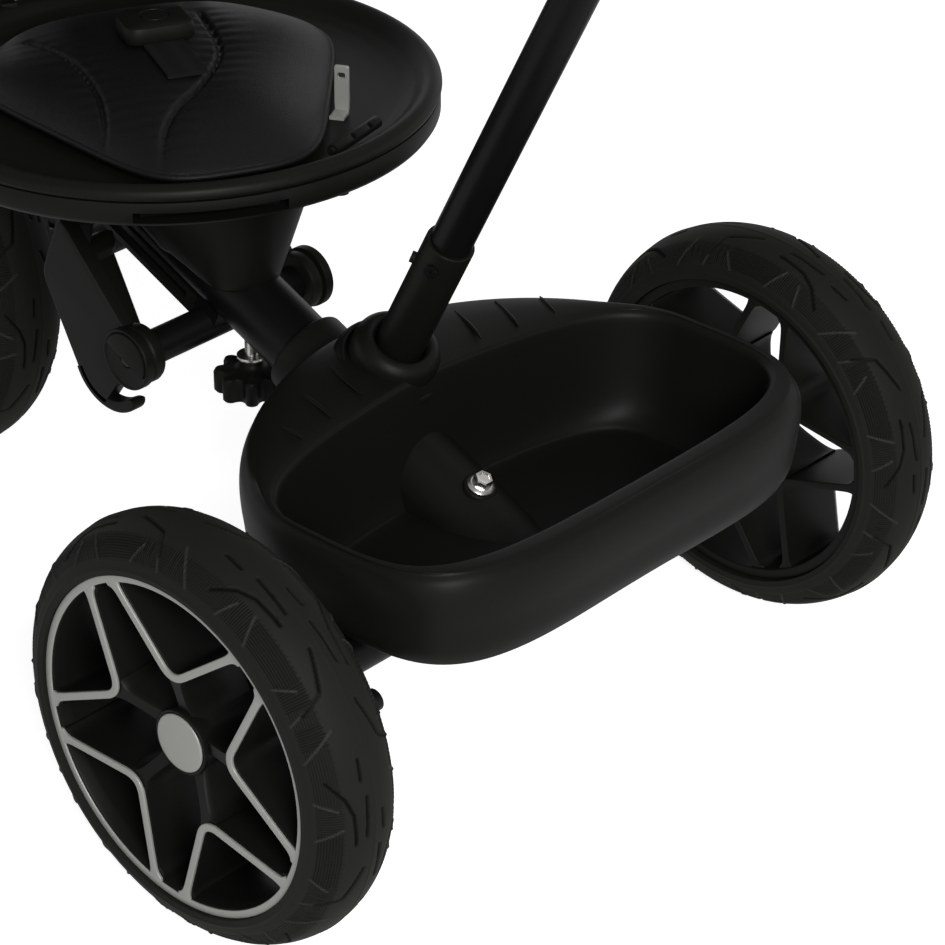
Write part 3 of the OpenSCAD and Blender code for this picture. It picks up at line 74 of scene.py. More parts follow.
def lamp(name, place, aim, size, power):
    """A square soft lamp at a place, facing a point."""
    light = bpy.data.lights.new(name, "AREA")
    light.size = size
    light.energy = power
    holder = show(name, light)
    holder.location = place
    holder.rotation_euler = (Vector(place) - Vector(aim)).to_track_quat("Z", "Y").to_euler()


lamp("key_lamp", (1.3, 2.0, 1.5), (0, 0.15, 0.2), 0.9, 52)
lamp("top_lamp", (-1.2, 0.6, 2.6), (0, 0.1, 0.2), 1.6, 4)


class Wire:
    """A shader socket that takes part in plain sums: each operator adds one Math node."""

    def __init__(self, tree, socket):
        self.tree = tree
        self.socket = socket

    def join(self, operation, other, swapped=False):
        math_node = self.tree.nodes.new("ShaderNodeMath")
        math_node.operation = operation
        for slot, value in zip(math_node.inputs, (other, self) if swapped else (self, other)):
            if isinstance(value, Wire):
                self.tree.links.new(value.socket, slot)
            else:
                slot.default_value = value
        return Wire(self.tree, math_node.outputs[0])

    def __add__(self, other):
        return self.join("ADD", other)

    __radd__ = __add__

    def __sub__(self, other):
        return self.join("SUBTRACT", other)

    def __rsub__(self, other):
        return self.join("SUBTRACT", other, True)

    def __mul__(self, other):
        return self.join("MULTIPLY", other)

    __rmul__ = __mul__

    def __pow__(self, other):
        return self.join("POWER", other)


class Finish:
    """A node tree being wired: add() makes one node from its type, its settings and its sockets."""

    def __init__(self, owner):
        owner.use_nodes = True
        self.owner = owner
        self.tree = owner.node_tree
        self.tree.nodes.clear()

    def add(self, kind, settings=None, out=0, **sockets):
        made = self.tree.nodes.new("ShaderNode" + kind)
        for key, value in (settings or {}).items():
            setattr(made, key, value)
        for key, value in sockets.items():
            slot = made.inputs[int(key[1:])] if key[1:].isdigit() else made.inputs[key.replace("_", " ")]
            if isinstance(value, Wire):
                self.tree.links.new(value.socket, slot)
            else:
                slot.default_value = value
        return Wire(self.tree, made.outputs[out]) if made.outputs else made

    def noise(self, scale, detail):
        """Soft noise in the piece's own space."""
        return self.add("TexNoise", Vector=self.add("TexCoord", out="Object"), Scale=scale, Detail=detail)

    def blend(self, share, low, high):
        """A colour between two others, by a share."""
        return self.add("Mix", {"data_type": "RGBA"}, out=2, _0=share, _6=low, _7=high)

    def across(self):
        """The two directions of the piece's own UV map."""
        place = self.add("SeparateXYZ", Vector=self.add("UVMap"))
        return place, Wire(self.tree, place.socket.node.outputs[1])

    def shine(self, **sockets):
        """The material, closed with one Principled shader."""
        self.add("OutputMaterial", Surface=self.add("BsdfPrincipled", **sockets))
        return self.owner


world = bpy.data.worlds.new("studio")
bpy.context.scene.world = world
sky = Finish(world)
mirrored = sky.add("LightPath", out="Is Glossy Ray") + sky.add("LightPath", out="Is Transmission Ray")
upward = sky.add("SeparateXYZ", out=2, Vector=sky.add("TexCoord"))
ceiling = ((upward - 0.1) * 2.2).join("MAXIMUM", 0.0).join("MINIMUM", 0.75)
seen = sky.add("LightPath") + mirrored * (1 - ceiling)
open_sky = sky.add("Background", Color=(1, 1, 1, 1), Strength=0.12)
white_sky = sky.add("Background", Color=(1, 1, 1, 1), Strength=1.0)
sky.add("OutputWorld", Surface=sky.add("MixShader", _0=seen, _1=open_sky, _2=white_sky))

floor_paint = Finish(bpy.data.materials.new("studio_floor"))
seen = floor_paint.add("LightPath") + floor_paint.add("LightPath", out="Is Glossy Ray") * 0.3
matt = floor_paint.add("BsdfDiffuse", Color=(0.9, 0.9, 0.9, 1))
glow = floor_paint.add("Emission", Color=(1, 1, 1, 1), Strength=0.85)
lit = floor_paint.add("AddShader", _0=matt, _1=glow)
floor_paint.add("OutputMaterial", Surface=floor_paint.add("MixShader", _0=seen, _1=matt, _2=lit))
ground = bpy.data.meshes.new("floor")
FLOOR_HALF = 6.0
ground_corners = [(x * FLOOR_HALF, y * FLOOR_HALF, 0) for x, y in ((-1, -1), (1, -1), (1, 1), (-1, 1))]
ground.from_pydata(ground_corners, [], [(0, 1, 2, 3)])
ground.materials.append(floor_paint.owner)
floor = show("floor", ground)

# Frame: one bent tube of painted steel carries the axle housing, the head tube and the footrest crossbar.
# It is powder coated black, with a faint orange peel.
finishes = {}


def moulded(name, colour, rough, grain_mm, depth_mm, metallic=0.0, drift=0.12, sheen=0.5):
    """A finish with a fine grain in its relief and slow drift in its colour and gloss."""
    made = Finish(bpy.data.materials.new(name))
    grain = made.noise(1000 / grain_mm, 2.0)
    cloud = made.noise(11.0, 3.0)
    dark = tuple(c * (1 - drift) for c in colour) + (1,)
    pale = tuple(c * (1 + drift) for c in colour) + (1,)
    relief = made.add("Bump", Strength=0.55, Distance=depth_mm / 1000, Height=grain)
    gloss = rough + (cloud - 0.5) * 0.1 + (grain - 0.5) * 0.08
    tint = made.blend(cloud, dark, pale)
    return made.shine(Base_Color=tint, Roughness=gloss, Metallic=metallic, Normal=relief,
                      Specular_IOR_Level=sheen)


finishes["frame_paint"] = moulded("frame_paint", (0.0048, 0.0048, 0.0046), 0.36, 1.1, 0.02, sheen=0.11)


def turned(points, axis, degrees):
    """Points turned about one of the three axes."""
    a = np.radians(degrees)
    c, s = np.cos(a), np.sin(a)
    x, y, z = points[..., 0], points[..., 1], points[..., 2]
    if axis == "x":
        return np.stack([x, y * c - z * s, y * s + z * c], -1)
    if axis == "y":
        return np.stack([x * c + z * s, y, z * c - x * s], -1)
    return np.stack([x * c - y * s, x * s + y * c, z], -1)


# Kinds of grid: whether u closes, whether v closes, and the side whose two ends are capped.
BAR, TURNED, RING = (False, True, "u"), (True, False, "v"), (True, True, "")
SHEET, SLEEVE = (False, False, ""), (True, False, "")


def surface(node, grids, body, slot, sharp=38, name=""):
    """One mesh from grids of points, each with its kind, that rides on a body in place of a solid."""
    corners, faces, uvs = [], [], []
    start = 0
    for points, (close_u, close_v, ends) in grids:
        nu, nv = points.shape[:2]
        steps_u = np.arange(nu if close_u else nu - 1)
        steps_v = np.arange(nv if close_v else nv - 1)
        i, j = (step.ravel() for step in np.meshgrid(steps_u, steps_v, indexing="ij"))
        i2, j2 = (i + 1) % nu, (j + 1) % nv
        faces += (start + np.stack([i * nv + j, i2 * nv + j, i2 * nv + j2, i * nv + j2], 1)).tolist()
        u = np.stack([i, i + 1, i + 1, i], 1) / nu
        v = np.stack([j, j, j + 1, j + 1], 1) / nv
        uvs.append(np.stack([u, v], -1).reshape(-1, 2))
        for row in ((0, nu - 1) if ends == "u" else (0, nv - 1) if ends == "v" else ()):
            loop = start + (row * nv + np.arange(nv) if ends == "u" else np.arange(nu) * nv + row)
            faces.append(loop.tolist())
            uvs.append(np.zeros((len(loop), 2)))
        corners.append(points.reshape(-1, 3))
        start += nu * nv
    corners = (np.concatenate(corners) + (0, SHIFT, 0)) / 1000
    name = name or node + "_skin"
    mesh = bpy.data.meshes.new(name)
    mesh.from_pydata(corners.tolist(), [], faces)
    mesh.uv_layers.new(name="UVMap").data.foreach_set("uv", np.concatenate(uvs).ravel())
    shape = bmesh.new()
    shape.from_mesh(mesh)
    bmesh.ops.recalc_face_normals(shape, faces=shape.faces)
    shape.to_mesh(mesh)
    shape.free()
    mesh.polygons.foreach_set("use_smooth", np.ones(len(mesh.polygons), bool))
    mesh.set_sharp_from_angle(angle=np.radians(sharp))
    mesh.materials.append(finishes[slot])
    piece = show(name, mesh)
    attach(piece, body)
    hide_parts(node)
    return piece


def once_round(steps):
    """Evenly spaced turns, once round."""
    return np.linspace(0, 2 * np.pi, steps, endpoint=False)


def polar(r, turn, h):
    """Points at a radius, a turn and a height."""
    return np.stack(np.broadcast_arrays(r * np.cos(turn), r * np.sin(turn), h), -1)


def spin(profile, steps=96):
    """A profile of (radius, height) points carried once round the Z axis."""
    profile = np.asarray(profile, float)
    return polar(profile[:, 0], once_round(steps)[:, None], profile[:, 1])


def eased(points, reach, closed=True, steps=4):
    """A polygon whose corners are replaced by short curves that start a given reach before each corner."""
    points = np.asarray(points, float)
    before, after = np.roll(points, 1, 0), np.roll(points, -1, 0)
    t = np.linspace(0, 1, steps)[None, :, None]

    def towards(other):
        way = other - points
        far = np.linalg.norm(way, axis=1, keepdims=True)
        return points + way * np.minimum(reach / np.maximum(far, 1e-9), 0.48)

    a, b, c = towards(before)[:, None], points[:, None], towards(after)[:, None]
    curve = (1 - t) ** 2 * a + 2 * t * (1 - t) * b + t ** 2 * c
    if not closed:
        curve[0] = points[0]
        curve[-1] = points[-1]
    return curve.reshape(-1, 2)


def hoop(r_in, r_out, low, high, ease, steps=96):
    """A round ring with a softened square section."""
    return spin(eased([(r_in, low), (r_out, low), (r_out, high), (r_in, high)], ease), steps)


def run_of(line):
    """How far along a line each of its points lies."""
    return np.r_[0, np.cumsum(np.linalg.norm(np.diff(line, axis=0), axis=1))]


def thinned(line):
    """A line without the points that repeat the one before."""
    return line[np.r_[True, np.diff(run_of(line)) > 0.01]]


def unit(arrows):
    """Rows of arrows, each made one long."""
    return arrows / np.linalg.norm(arrows, axis=1, keepdims=True)


def along(path, radius, sides=32):
    """A round section carried along a path that stays in one upright plane or bends gently."""
    way = unit(np.gradient(path, axis=0))
    flat = unit(np.cross(way, (1.0, 0.0, 0.0) if abs(way[:, 0]).max() < 0.8 else (0.0, 0.0, 1.0)))
    side = np.cross(way, flat)
    a = once_round(sides)[None, :, None]
    radius = np.broadcast_to(radius, len(path))[:, None, None]
    return path[:, None] + radius * (flat[:, None] * np.cos(a) + side[:, None] * np.sin(a))


TUBE_FOOT_H, TUBE_SLOPE, TUBE_R = 131.0, 24.3, 21.2
TUBE_BACK, SLOPE_RUN, FLAT_RUN, HEAD_RUN = 3.6, 330, 117, 96
slope = np.tan(np.radians(TUBE_SLOPE))
tube_start = np.array([TUBE_BACK, TUBE_FOOT_H - TUBE_BACK * slope])
bend_one = np.array([-SLOPE_RUN, TUBE_FOOT_H + SLOPE_RUN * slope])
bend_two = bend_one + np.array([-FLAT_RUN, FLAT_RUN * np.tan(np.radians(10))])
head_end = bend_two + HEAD_RUN * np.array([-np.cos(np.pi / 4), np.sin(np.pi / 4)])
tube_line = [tube_start, (tube_start + bend_one) / 2, bend_one, bend_two, head_end]
tube_line = thinned(eased(tube_line, 26, False, 12))
tube_path = np.concatenate([np.zeros((len(tube_line), 1)), tube_line], 1)
surface("main_tube", [(along(tube_path, TUBE_R, 48), BAR)], "frame", "frame_paint")

REAR_R = 125.0
HOUSING_HALF, HOUSING_R = 205.2, 16
housing = [(0.02, -HOUSING_HALF), (HOUSING_R, -HOUSING_HALF), (HOUSING_R, HOUSING_HALF), (0.02, HOUSING_HALF)]
housing_skin = turned(spin(eased(housing, 1.0, False), 64), "y", 90) + (0, 0, REAR_R)
surface("axle_housing", [(housing_skin, TURNED)], "frame", "frame_paint")

# Rear wheels: moulded rims with five forked spokes, snapped on bushes.
# Each has a foamed rubber tyre, a silver line along the spokes and a silver cap.
finishes["black_plastic"] = moulded("black_plastic", (0.0070, 0.0069, 0.0061), 0.45, 0.7, 0.05, sheen=0.10)
finishes["silver_trim"] = moulded("silver_trim", (0.35, 0.35, 0.33), 0.42, 0.5, 0.01, metallic=0.25,
                                  drift=0.05)
# Point marks for the tyre finish: cut carries painted shade in the cuts, less a painted highlight on the
# raised lines; band is the knurled shoulder, which also gets painted shade; weft says which way its ridges
# run.
TREAD_MARKS = ("cut", "band", "weft")


def tread_finish(name):
    """Rubber with painted shade in its cuts, a painted highlight on its raised lines, and fine shoulder
    ridges that run round or across, raised in the bump and painted as stripes of shade.
    """
    made = Finish(bpy.data.materials.new(name))
    grain = made.noise(900.0, 2.0)
    cloud = made.noise(14.0, 3.0)
    mark, band, weft = (made.add("Attribute", {"attribute_name": key}, out="Fac") for key in TREAD_MARKS)
    # cut: the depth share of the tread cuts, which drives painted shade.
    cut = mark.join("MAXIMUM", 0.0)
    # line: the share of the raised lines, which drives a painted highlight.
    line = (mark * -1.0).join("MAXIMUM", 0.0)
    length, width = made.across()
    round_ridge = (length * (2 * np.pi * 480)).join("SINE", 0.0)
    cross_ridge = (width * (2 * np.pi * 54)).join("SINE", 0.0)
    knurl = round_ridge * weft + cross_ridge * (1 - weft)
    # Painted shade: the knurled band is darkened, most in the troughs of its ridges, for a knurl too fine to
    # model.
    shade = 1 - (cut * 0.85 + band * (0.34 - knurl * 0.24))
    tint = made.blend(cloud, (0.0094, 0.0093, 0.0081, 1), (0.0150, 0.0148, 0.0131, 1))
    # Painted shade: the cuts and the knurled band are darkened towards near black.
    tint = made.blend(shade, (0.0012, 0.0012, 0.0011, 1), tint)
    # Painted highlight: the raised lines are paled towards grey.
    tint = made.blend(line * 0.6, tint, (0.075, 0.075, 0.068, 1))
    relief = made.add("Bump", Strength=0.8, Distance=0.0004, Height=grain * 0.2 + band * knurl * 0.7)
    gloss = 0.62 + (cloud - 0.5) * 0.12 + cut * 0.25 + band * 0.08
    return made.shine(Base_Color=tint, Roughness=gloss, Normal=relief, Specular_IOR_Level=0.10)


finishes["tyre_rubber"] = tread_finish("tyre_rubber")


def groove(a, s, line, width, depth):
    """A cut of even width along a broken line, deepest in its middle."""
    gap = np.full(a.shape, 1e9)
    for (a0, s0), (a1, s1) in zip(line[:-1], line[1:]):
        da, ds = a1 - a0, s1 - s0
        k = np.clip(((a - a0) * da + (s - s0) * ds) / (da * da + ds * ds), 0, 1)
        gap = np.minimum(gap, np.hypot(a - a0 - k * da, s - s0 - k * ds))
    return -depth * np.clip(1.6 - 1.6 * gap / width, 0, 1)


RIM_HALF, BEAD_HALF, SPOKE_DEPTH, TRIM_FACE = 26.3, 22.3, 51, 27.5
TYRE_T, TYRE_HALF = 25, 30
FORK_TIP, FORK_SPREAD = 43.0, np.radians(28.4)
BAND_IN, BAND_OUT = 16.4, 33
TREAD_SECTOR = 131.0
TREAD_CUTS = [
    [(6, 25), (10, 18), (13, 12), (36, 5)], [(96, 25), (84, 16), (73, 12), (54, 11)],
    [(58, 5), (82, 4)], [(92, 6), (104, 5.5)]]
TREAD_LINES = [
    [(3, 33), (13, 12)], [(27, 33), (20, 22)], [(58, 33), (66, 18)], [(84, 33), (78, 20)],
    [(110, 33), (124, 14)]]
BLOCK_STARTS = (10, 24, 62, 81, 117)
RIDGED = np.array([0.75, 1.0, 1.0, 0.85, 0.7, 0.95])


def tyre(wheel_r, around=930, across=103):
    """An oval section with cuts, a shoulder band in ridged blocks, and a parting line at the crown."""
    edge = wheel_r - TYRE_T
    turn = once_round(around)[:, None]
    t = np.radians(np.linspace(-88, 88, across))[None, :]
    s = t * 27.6
    count = round(2 * np.pi * wheel_r / TREAD_SECTOR)
    lift = 0.35 * np.exp(-(s / 0.6) ** 2) + 0 * turn
    raised, band, weft = 0 * lift, 0 * lift, 0 * lift
    for side, offset in ((1, 0.0), (-1, 34.0)):
        out = side * s
        a = (turn / (2 * np.pi) * count * TREAD_SECTOR + offset) % TREAD_SECTOR + 0 * s
        for wrap in (-TREAD_SECTOR, 0, TREAD_SECTOR):
            for line in TREAD_CUTS:
                lift = np.minimum(lift, groove(a - wrap, out, line, 1.15, 1.5) + np.maximum(lift, 0))
            for line in TREAD_LINES:
                raised = np.maximum(raised, -groove(a - wrap, out, line, 0.9, 0.5))
        teeth = np.abs((a / 3.4) % 1 - 0.5)
        strip = np.clip((out - BAND_IN - 2.6 * teeth) / 0.9, 0, 1) * np.clip((BAND_OUT - out) / 1.2, 0, 1)
        block_no = sum((a > start).astype(int) for start in BLOCK_STARTS)
        weft = np.where(out > 0, block_no % 2, weft)
        band = np.where(out > 0, strip * RIDGED[block_no], band)
    cut = np.clip(-lift / 1.2, 0, 1)
    band = band * (1 - cut) * (1 - np.clip(raised / 0.3, 0, 1))
    serration = 0.22 * np.cos(turn * around / 3) * np.exp(-((np.abs(s) - 23) / 4) ** 2)
    bead = 0.8 * np.exp(-((np.abs(s) - 39.5) / 0.9) ** 2) * (np.abs(s) > 30)
    lift = lift + raised - 0.3 * band + serration + bead
    skin = polar(edge + (TYRE_T + lift) * np.cos(t), turn, (TYRE_HALF + lift) * np.sin(t))
    inner = spin([(edge + 0.1, 29.6), (edge + 0.1, -29.6)], around)
    # The first mark is painted shade in the cuts, less a painted highlight on the raised lines.
    marks = [np.concatenate([m, np.zeros((around, 2))], 1).ravel() for m in (cut - raised, band, weft)]
    return np.concatenate([skin, inner], 1), marks


def picked(line, stops):
    """The places on a flat line at given runs along it."""
    return np.stack([np.interp(stops, run_of(line), line[:, k]) for k in (0, 1)], 1)


def fork_line(wheel_r, reach):
    """The centre line of a forked spoke: in from the rim, round the fork point and out again."""
    far = (wheel_r - 31) * np.array([np.cos(FORK_SPREAD), np.sin(FORK_SPREAD)])
    tip = np.array([FORK_TIP, 0.0])
    way = (far - tip) / np.linalg.norm(far - tip)
    k = tip @ way
    out = tip + way * (-k + np.sqrt(k * k - tip @ tip + reach * reach))
    half_way = (out + tip) / 2
    line = thinned(eased([out, half_way, tip, half_way * (1, -1), out * (1, -1)], 11, False, 9))
    run = run_of(line)
    near = np.array([0.8, 1.6, 2.4, 3.4, 4.6, 6.0, 8.0, 11.0])
    return picked(line, np.sort(np.concatenate([run, near, run[-1] - near])))


def wall(line, section, flare=0.0, share=1.0):
    """A section of (sideways, up) points carried along a flat line, thinned or flared where asked."""
    flare, share = (np.broadcast_to(size, len(line))[:, None, None] for size in (flare, share))
    spread = section[None, :, :1] * share + np.sign(section[None, :, :1]) * flare
    way = unit(np.gradient(line, axis=0))
    flat = line[:, None] + np.stack([-way[:, 1], way[:, 0]], 1)[:, None] * spread
    return np.concatenate([flat, np.broadcast_to(section[None, :, 1:], flat.shape[:2] + (1,))], -1)


def block(half_w, low, high, ease=0.8):
    """A section with softened corners."""
    return eased([(-half_w, low), (half_w, low), (half_w, high), (-half_w, high)], ease)


def stem(low, hub_high, tip_high):
    """The web between the hub and a fork point, wider at both ends."""
    x = np.linspace(12, 46, 18)
    half_w = 4.4 + 4.5 * np.exp(-(x - 15) / 4) + 3.2 * np.exp(-(45 - x) / 3)
    high = hub_high + (tip_high - hub_high) * np.clip((x - 15) / 28, 0, 1)
    ring = eased([(-1, 0), (1, 0), (1, 1), (-1, 1)], 0.25)
    y = half_w[:, None] * ring[None, :, 0]
    z = low + (high - low)[:, None] * ring[None, :, 1]
    return np.stack([x[:, None] + 0 * y, y, z], -1)


def placed(grids, move):
    """The same grids with their points moved."""
    return [(move(points), kind) for points, kind in grids]


def wheel(name, body, wheel_r, phase, two_faced, move, nodes):
    """Rim, tyre, trim and cap of one wheel in its own frame, with Z along the axle."""
    rim_r = wheel_r - TYRE_T
    turns = [90 + phase + 72 * k for k in range(5)]
    barrel = [(-6.4, -RIM_HALF), (0, -RIM_HALF), (0, -BEAD_HALF), (-2, -BEAD_HALF), (-2, BEAD_HALF),
              (0, BEAD_HALF), (0, RIM_HALF), (-4.6, RIM_HALF), (-6.4, RIM_HALF - 8)]
    low = 1 - RIM_HALF if two_faced else RIM_HALF - SPOKE_DEPTH
    line = fork_line(wheel_r, rim_r - 4)
    flare = 3.2 * np.exp((np.linalg.norm(line, axis=1) - rim_r + 6.4) / 2.2)
    arm = wall(line, block(2.4, low, RIM_HALF - 0.9), np.minimum(flare, 3.2))
    web = stem(-18.3 if two_faced else low, 16, RIM_HALF - 1.2)
    grids = [(spin(eased(barrel, 1.1) + (rim_r, 0), 144), RING)]
    for turn in turns:
        grids += [(turned(arm, "z", turn), BAR), (turned(web, "z", turn), BAR)]
    hub = [(10.1, -RIM_HALF), (17.5, -RIM_HALF), (17.5, 10), (19.2, 17), (19.2, 20.4), (17.6, 20.4),
           (17.4, 19.6), (10.1, 19.6)]
    grids.append((hoop(6.1, 17.5, -24, 24, 0.8) if two_faced else spin(eased(hub, 0.8)), RING))
    surface(nodes[0], placed(grids, move), body, "black_plastic", name=name + "_rim_skin")
    carcass, marks = tyre(wheel_r)
    tread = surface(nodes[1], [(move(carcass), RING)], body, "tyre_rubber", 60, name + "_tyre_skin")
    for mark, values in zip(TREAD_MARKS, marks):
        tread.data.attributes.new(mark, "FLOAT", "POINT").data.foreach_set("value", values)
    ring = hoop(rim_r - 4.6, rim_r - 0.1, RIM_HALF + 0.05, TRIM_FACE, 0.7, 144)
    line = fork_line(wheel_r, rim_r - 2.2)
    flare = 3.0 * np.exp((np.linalg.norm(line, axis=1) - rim_r + 4.6) / 2.0)
    arm = wall(line, block(2.3, RIM_HALF - 0.85, TRIM_FACE - 0.1, 0.7), np.minimum(flare, 3.0))
    faces = []
    for side in ((1, -1) if two_faced else (1,)):
        faces.append((ring * (1, 1, side), RING))
        faces += [(turned(arm * (1, 1, side), "z", turn), BAR) for turn in turns]
    surface(nodes[2], placed(faces, move), body, "silver_trim", name=name + "_trim_skin")
    if not two_faced:
        cap = [(0.02, 20.05), (17.2, 20.05), (17.2, 20.9), (16.4, 21.4), (8, 21.7), (0.02, 21.8)]
        cap_skin = move(spin(eased(cap, 0.5, False)))
        surface(nodes[3], [(cap_skin, TURNED)], body, "silver_trim", name=name + "_cap_skin")


HALF_TRACK = 235.5
LEFT_PHASE, RIGHT_PHASE = 13.7, 32.2
for side, hand, phase in ((1, "left", LEFT_PHASE), (-1, "right", RIGHT_PHASE)):
    wheel(hand + "_wheel", hand + "_rear_wheel", REAR_R, phase, False,
          lambda p: turned(p, "y", side * 90) + (side * HALF_TRACK, 0, REAR_R),
          [hand + "_rear_rim", hand + "_rear_tyre", hand + "_rear_trim", hand + "_hub_cap"])

# Front wheel: the same spokes on both faces of a larger rim, turned by the crank axle.
# Its tyre and silver lines are made as those of the rear wheels.
FRONT_R = 150.0
WHEELBASE = 554.0
wheel("front_wheel", "front_wheel", FRONT_R, LEFT_PHASE, True,
      lambda p: turned(p, "y", 90) + (0, -WHEELBASE, FRONT_R), ["front_rim", "front_tyre", "front_trims"])

# Front end: a moulded fork on the crank axle, with a swept steel handlebar, soft grips and grooved pedals.
# The fork turns in the head tube, and the pedals turn on spindles that are part of the cranks.
LEG_X, LEG_T, CROWN_H = 44.0, 12.0, 166.0
BAR_W, BAR_R, BAR_MID, BAR_STRAIGHT = 370.0, 11.0, 42.0, 87.0
BAR_H, STEM_REACH, BAR_SWEEP, BAR_RISE = 355.105, 45.0, 17.0, 35.0
GRIP_LEN, GRIP_R = 92.0, 15.0
PEDAL_IN, PEDAL_L, PEDAL_T, CRANK_LEN = 69.0, 64.0, 24.0, 85.0


def on_steering(points):
    """From the steering axis, with Z up along it from the front axle, to the trike's frame."""
    return turned(points, "x", -8) + (0, -WHEELBASE, FRONT_R)


leg_line = [(LEG_X, 12), (LEG_X, 90), (LEG_X, CROWN_H), (0, CROWN_H)]
arch_line = thinned(eased(leg_line + [(-x, z) for x, z in leg_line[2::-1]], 20, False, 9))
fork_arch = wall(arch_line, block(LEG_T / 2, -1, 1, 0.35))[..., [0, 2, 1]]
fork_arch[..., 1] *= 18.5 + 4.5 * np.clip(fork_arch[..., 2] / CROWN_H, 0, 1)
fork_grids = [(fork_arch, BAR)]
eye = turned(hoop(9.1, 20, -LEG_T / 2, LEG_T / 2, 1.2), "y", 90)
fork_grids += [(eye + (side * LEG_X, 0, 0), RING) for side in (1, -1)]
fork_grids.append((hoop(11.1, 25.4, 163, 185.6, 1.0), RING))
surface("fork", placed(fork_grids, on_steering), "fork_and_handlebar", "black_plastic", 45)

x = np.linspace(-BAR_W / 2, BAR_W / 2, 121)
lift = np.clip((np.abs(x) - BAR_MID) / (BAR_STRAIGHT - BAR_MID), 0, 1)
lift = lift * lift * (3 - 2 * lift)
bar_path = np.stack([x, BAR_SWEEP * lift - STEM_REACH, BAR_RISE * lift + BAR_H], 1)
surface("handlebar", [(on_steering(along(bar_path, BAR_R)), BAR)], "fork_and_handlebar", "frame_paint")

finishes["grip_foam"] = moulded("grip_foam", (0.0085, 0.0085, 0.0080), 0.82, 1.6, 0.22, drift=0.25, sheen=0.1)
grip_in, grip_out = BAR_W / 2 - GRIP_LEN, BAR_W / 2 + 4
rib_x = np.linspace(grip_in + 8, grip_out - 12, 29)
grip_ribs = np.stack([GRIP_R - 0.9 * (np.arange(29) % 2), rib_x], 1)
flange = [(BAR_R + 0.05, grip_in), (GRIP_R + 5, grip_in), (GRIP_R + 5, grip_in + 4), (GRIP_R, grip_in + 5)]
grip_end = [(GRIP_R, grip_out - 9), (GRIP_R + 2, grip_out - 7), (GRIP_R + 2, grip_out), (0.02, grip_out)]
grip_line = np.concatenate([eased(flange, 1.2, False), grip_ribs, eased(grip_end, 1.5, False)])
hand_grip = turned(spin(grip_line, 64), "y", 90)
grip_at = (0, BAR_SWEEP - STEM_REACH, BAR_RISE + BAR_H)
grips = [(on_steering(hand_grip * (side, 1, 1) + grip_at), TURNED) for side in (1, -1)]
surface("handlebar_grips", grips, "fork_and_handlebar", "grip_foam", 60)

flat_half = (PEDAL_L - PEDAL_T) / 2
level = np.linspace(-flat_half, flat_half, 81)
bend = np.radians(np.linspace(-90, 90, 25))[1:-1]
outline = np.concatenate([
    np.stack([level, 0 * level - PEDAL_T / 2], 1),
    np.stack([flat_half + PEDAL_T / 2 * np.cos(bend), PEDAL_T / 2 * np.sin(bend)], 1),
    np.stack([level[::-1], 0 * level + PEDAL_T / 2], 1),
    np.stack([-flat_half - PEDAL_T / 2 * np.cos(bend), -PEDAL_T / 2 * np.sin(bend)], 1)])
grooves = sum(np.exp(-((np.abs(outline[:, 0]) - at) / 0.9) ** 4) for at in (12, 17))
grooves *= np.abs(outline[:, 1]) > PEDAL_T / 2 - 0.1


def slab(section, stops):
    """A flat section at each of a few places along X."""
    return np.stack([np.concatenate([np.full((len(section), 1), x), section], 1) for x in stops])


pedal_steps = [(0, 2, 0), (0.6, 0.6, 0), (2, 0, 0), (10, 0, 0), (11, 0, 1), (59, 0, 1), (60, 0, 0),
               (68, 0, 0), (69.4, 0.6, 0), (70, 2, 0)]
pedal_rows = []
for x_here, inset, cut_here in pedal_steps:
    yz = outline * (1 - inset / (PEDAL_L / 2), 1 - inset / (PEDAL_T / 2))
    yz[:, 1] -= np.sign(yz[:, 1]) * cut_here * grooves
    pedal_rows.append(slab(yz, [PEDAL_IN + x_here])[0])
for side, hand in ((1, "left"), (-1, "right")):
    pedal = np.stack(pedal_rows) * (side, 1, 1) + (0, -WHEELBASE - side * CRANK_LEN, FRONT_R)
    surface(hand + "_pedal", [(pedal, BAR)], hand + "_pedal_body", "black_plastic", 30)

# Basket: one deep tray of moulded plastic that straddles the main tube over the rear axle.
# It has a broad rolled rim, a hump over the tube, three ribs each side of the handle, and one bolt.
LIP_H = 219.0
SKIRT = 58
FLOOR_H = 147.0
WALL = 3.0
RISE = 12.0


def oval(a, front, rear, p_front, p_rear, t):
    """Radius of an oval with its own reach and squareness in front and behind."""
    reach = np.where(np.sin(t) < 0, front, rear)
    power = np.where(np.sin(t) < 0, p_front, p_rear)
    return (np.abs(np.cos(t) / a) ** power + np.abs(np.sin(t) / reach) ** power) ** (-1 / power)


def tray_ring(t, mix, inset, shrink, h, rise=0.0):
    """A level ring between the opening's outline and the outer one, lifted in front."""
    inner = oval(160, 63, 97, 2.6, 4.2, t)
    outer = oval(169, 129, 117, 2, 4.5, t)
    r = (inner + mix * (outer - inner)) * shrink - inset
    return polar(r, t, h + rise * np.maximum(0, -np.sin(t)) ** 2)


def smooth_rows(rows, steps):
    """Rows of points joined by smooth curves that pass through every row."""
    rows = np.asarray(rows)
    ends = np.concatenate([rows[:1], rows, rows[-1:]])
    a, b, c, d = ends[:-3], ends[1:-2], ends[2:-1], ends[3:]
    t = np.linspace(0, 1, steps, endpoint=False)[:, None, None]
    curve = [0.5 * (2 * b[i] + (c[i] - a[i]) * t + (2 * a[i] - 5 * b[i] + 4 * c[i] - d[i]) * t ** 2
                    + (3 * b[i] - a[i] - 3 * c[i] + d[i]) * t ** 3) for i in range(len(b))]
    return np.concatenate(curve + [rows[-1:]])


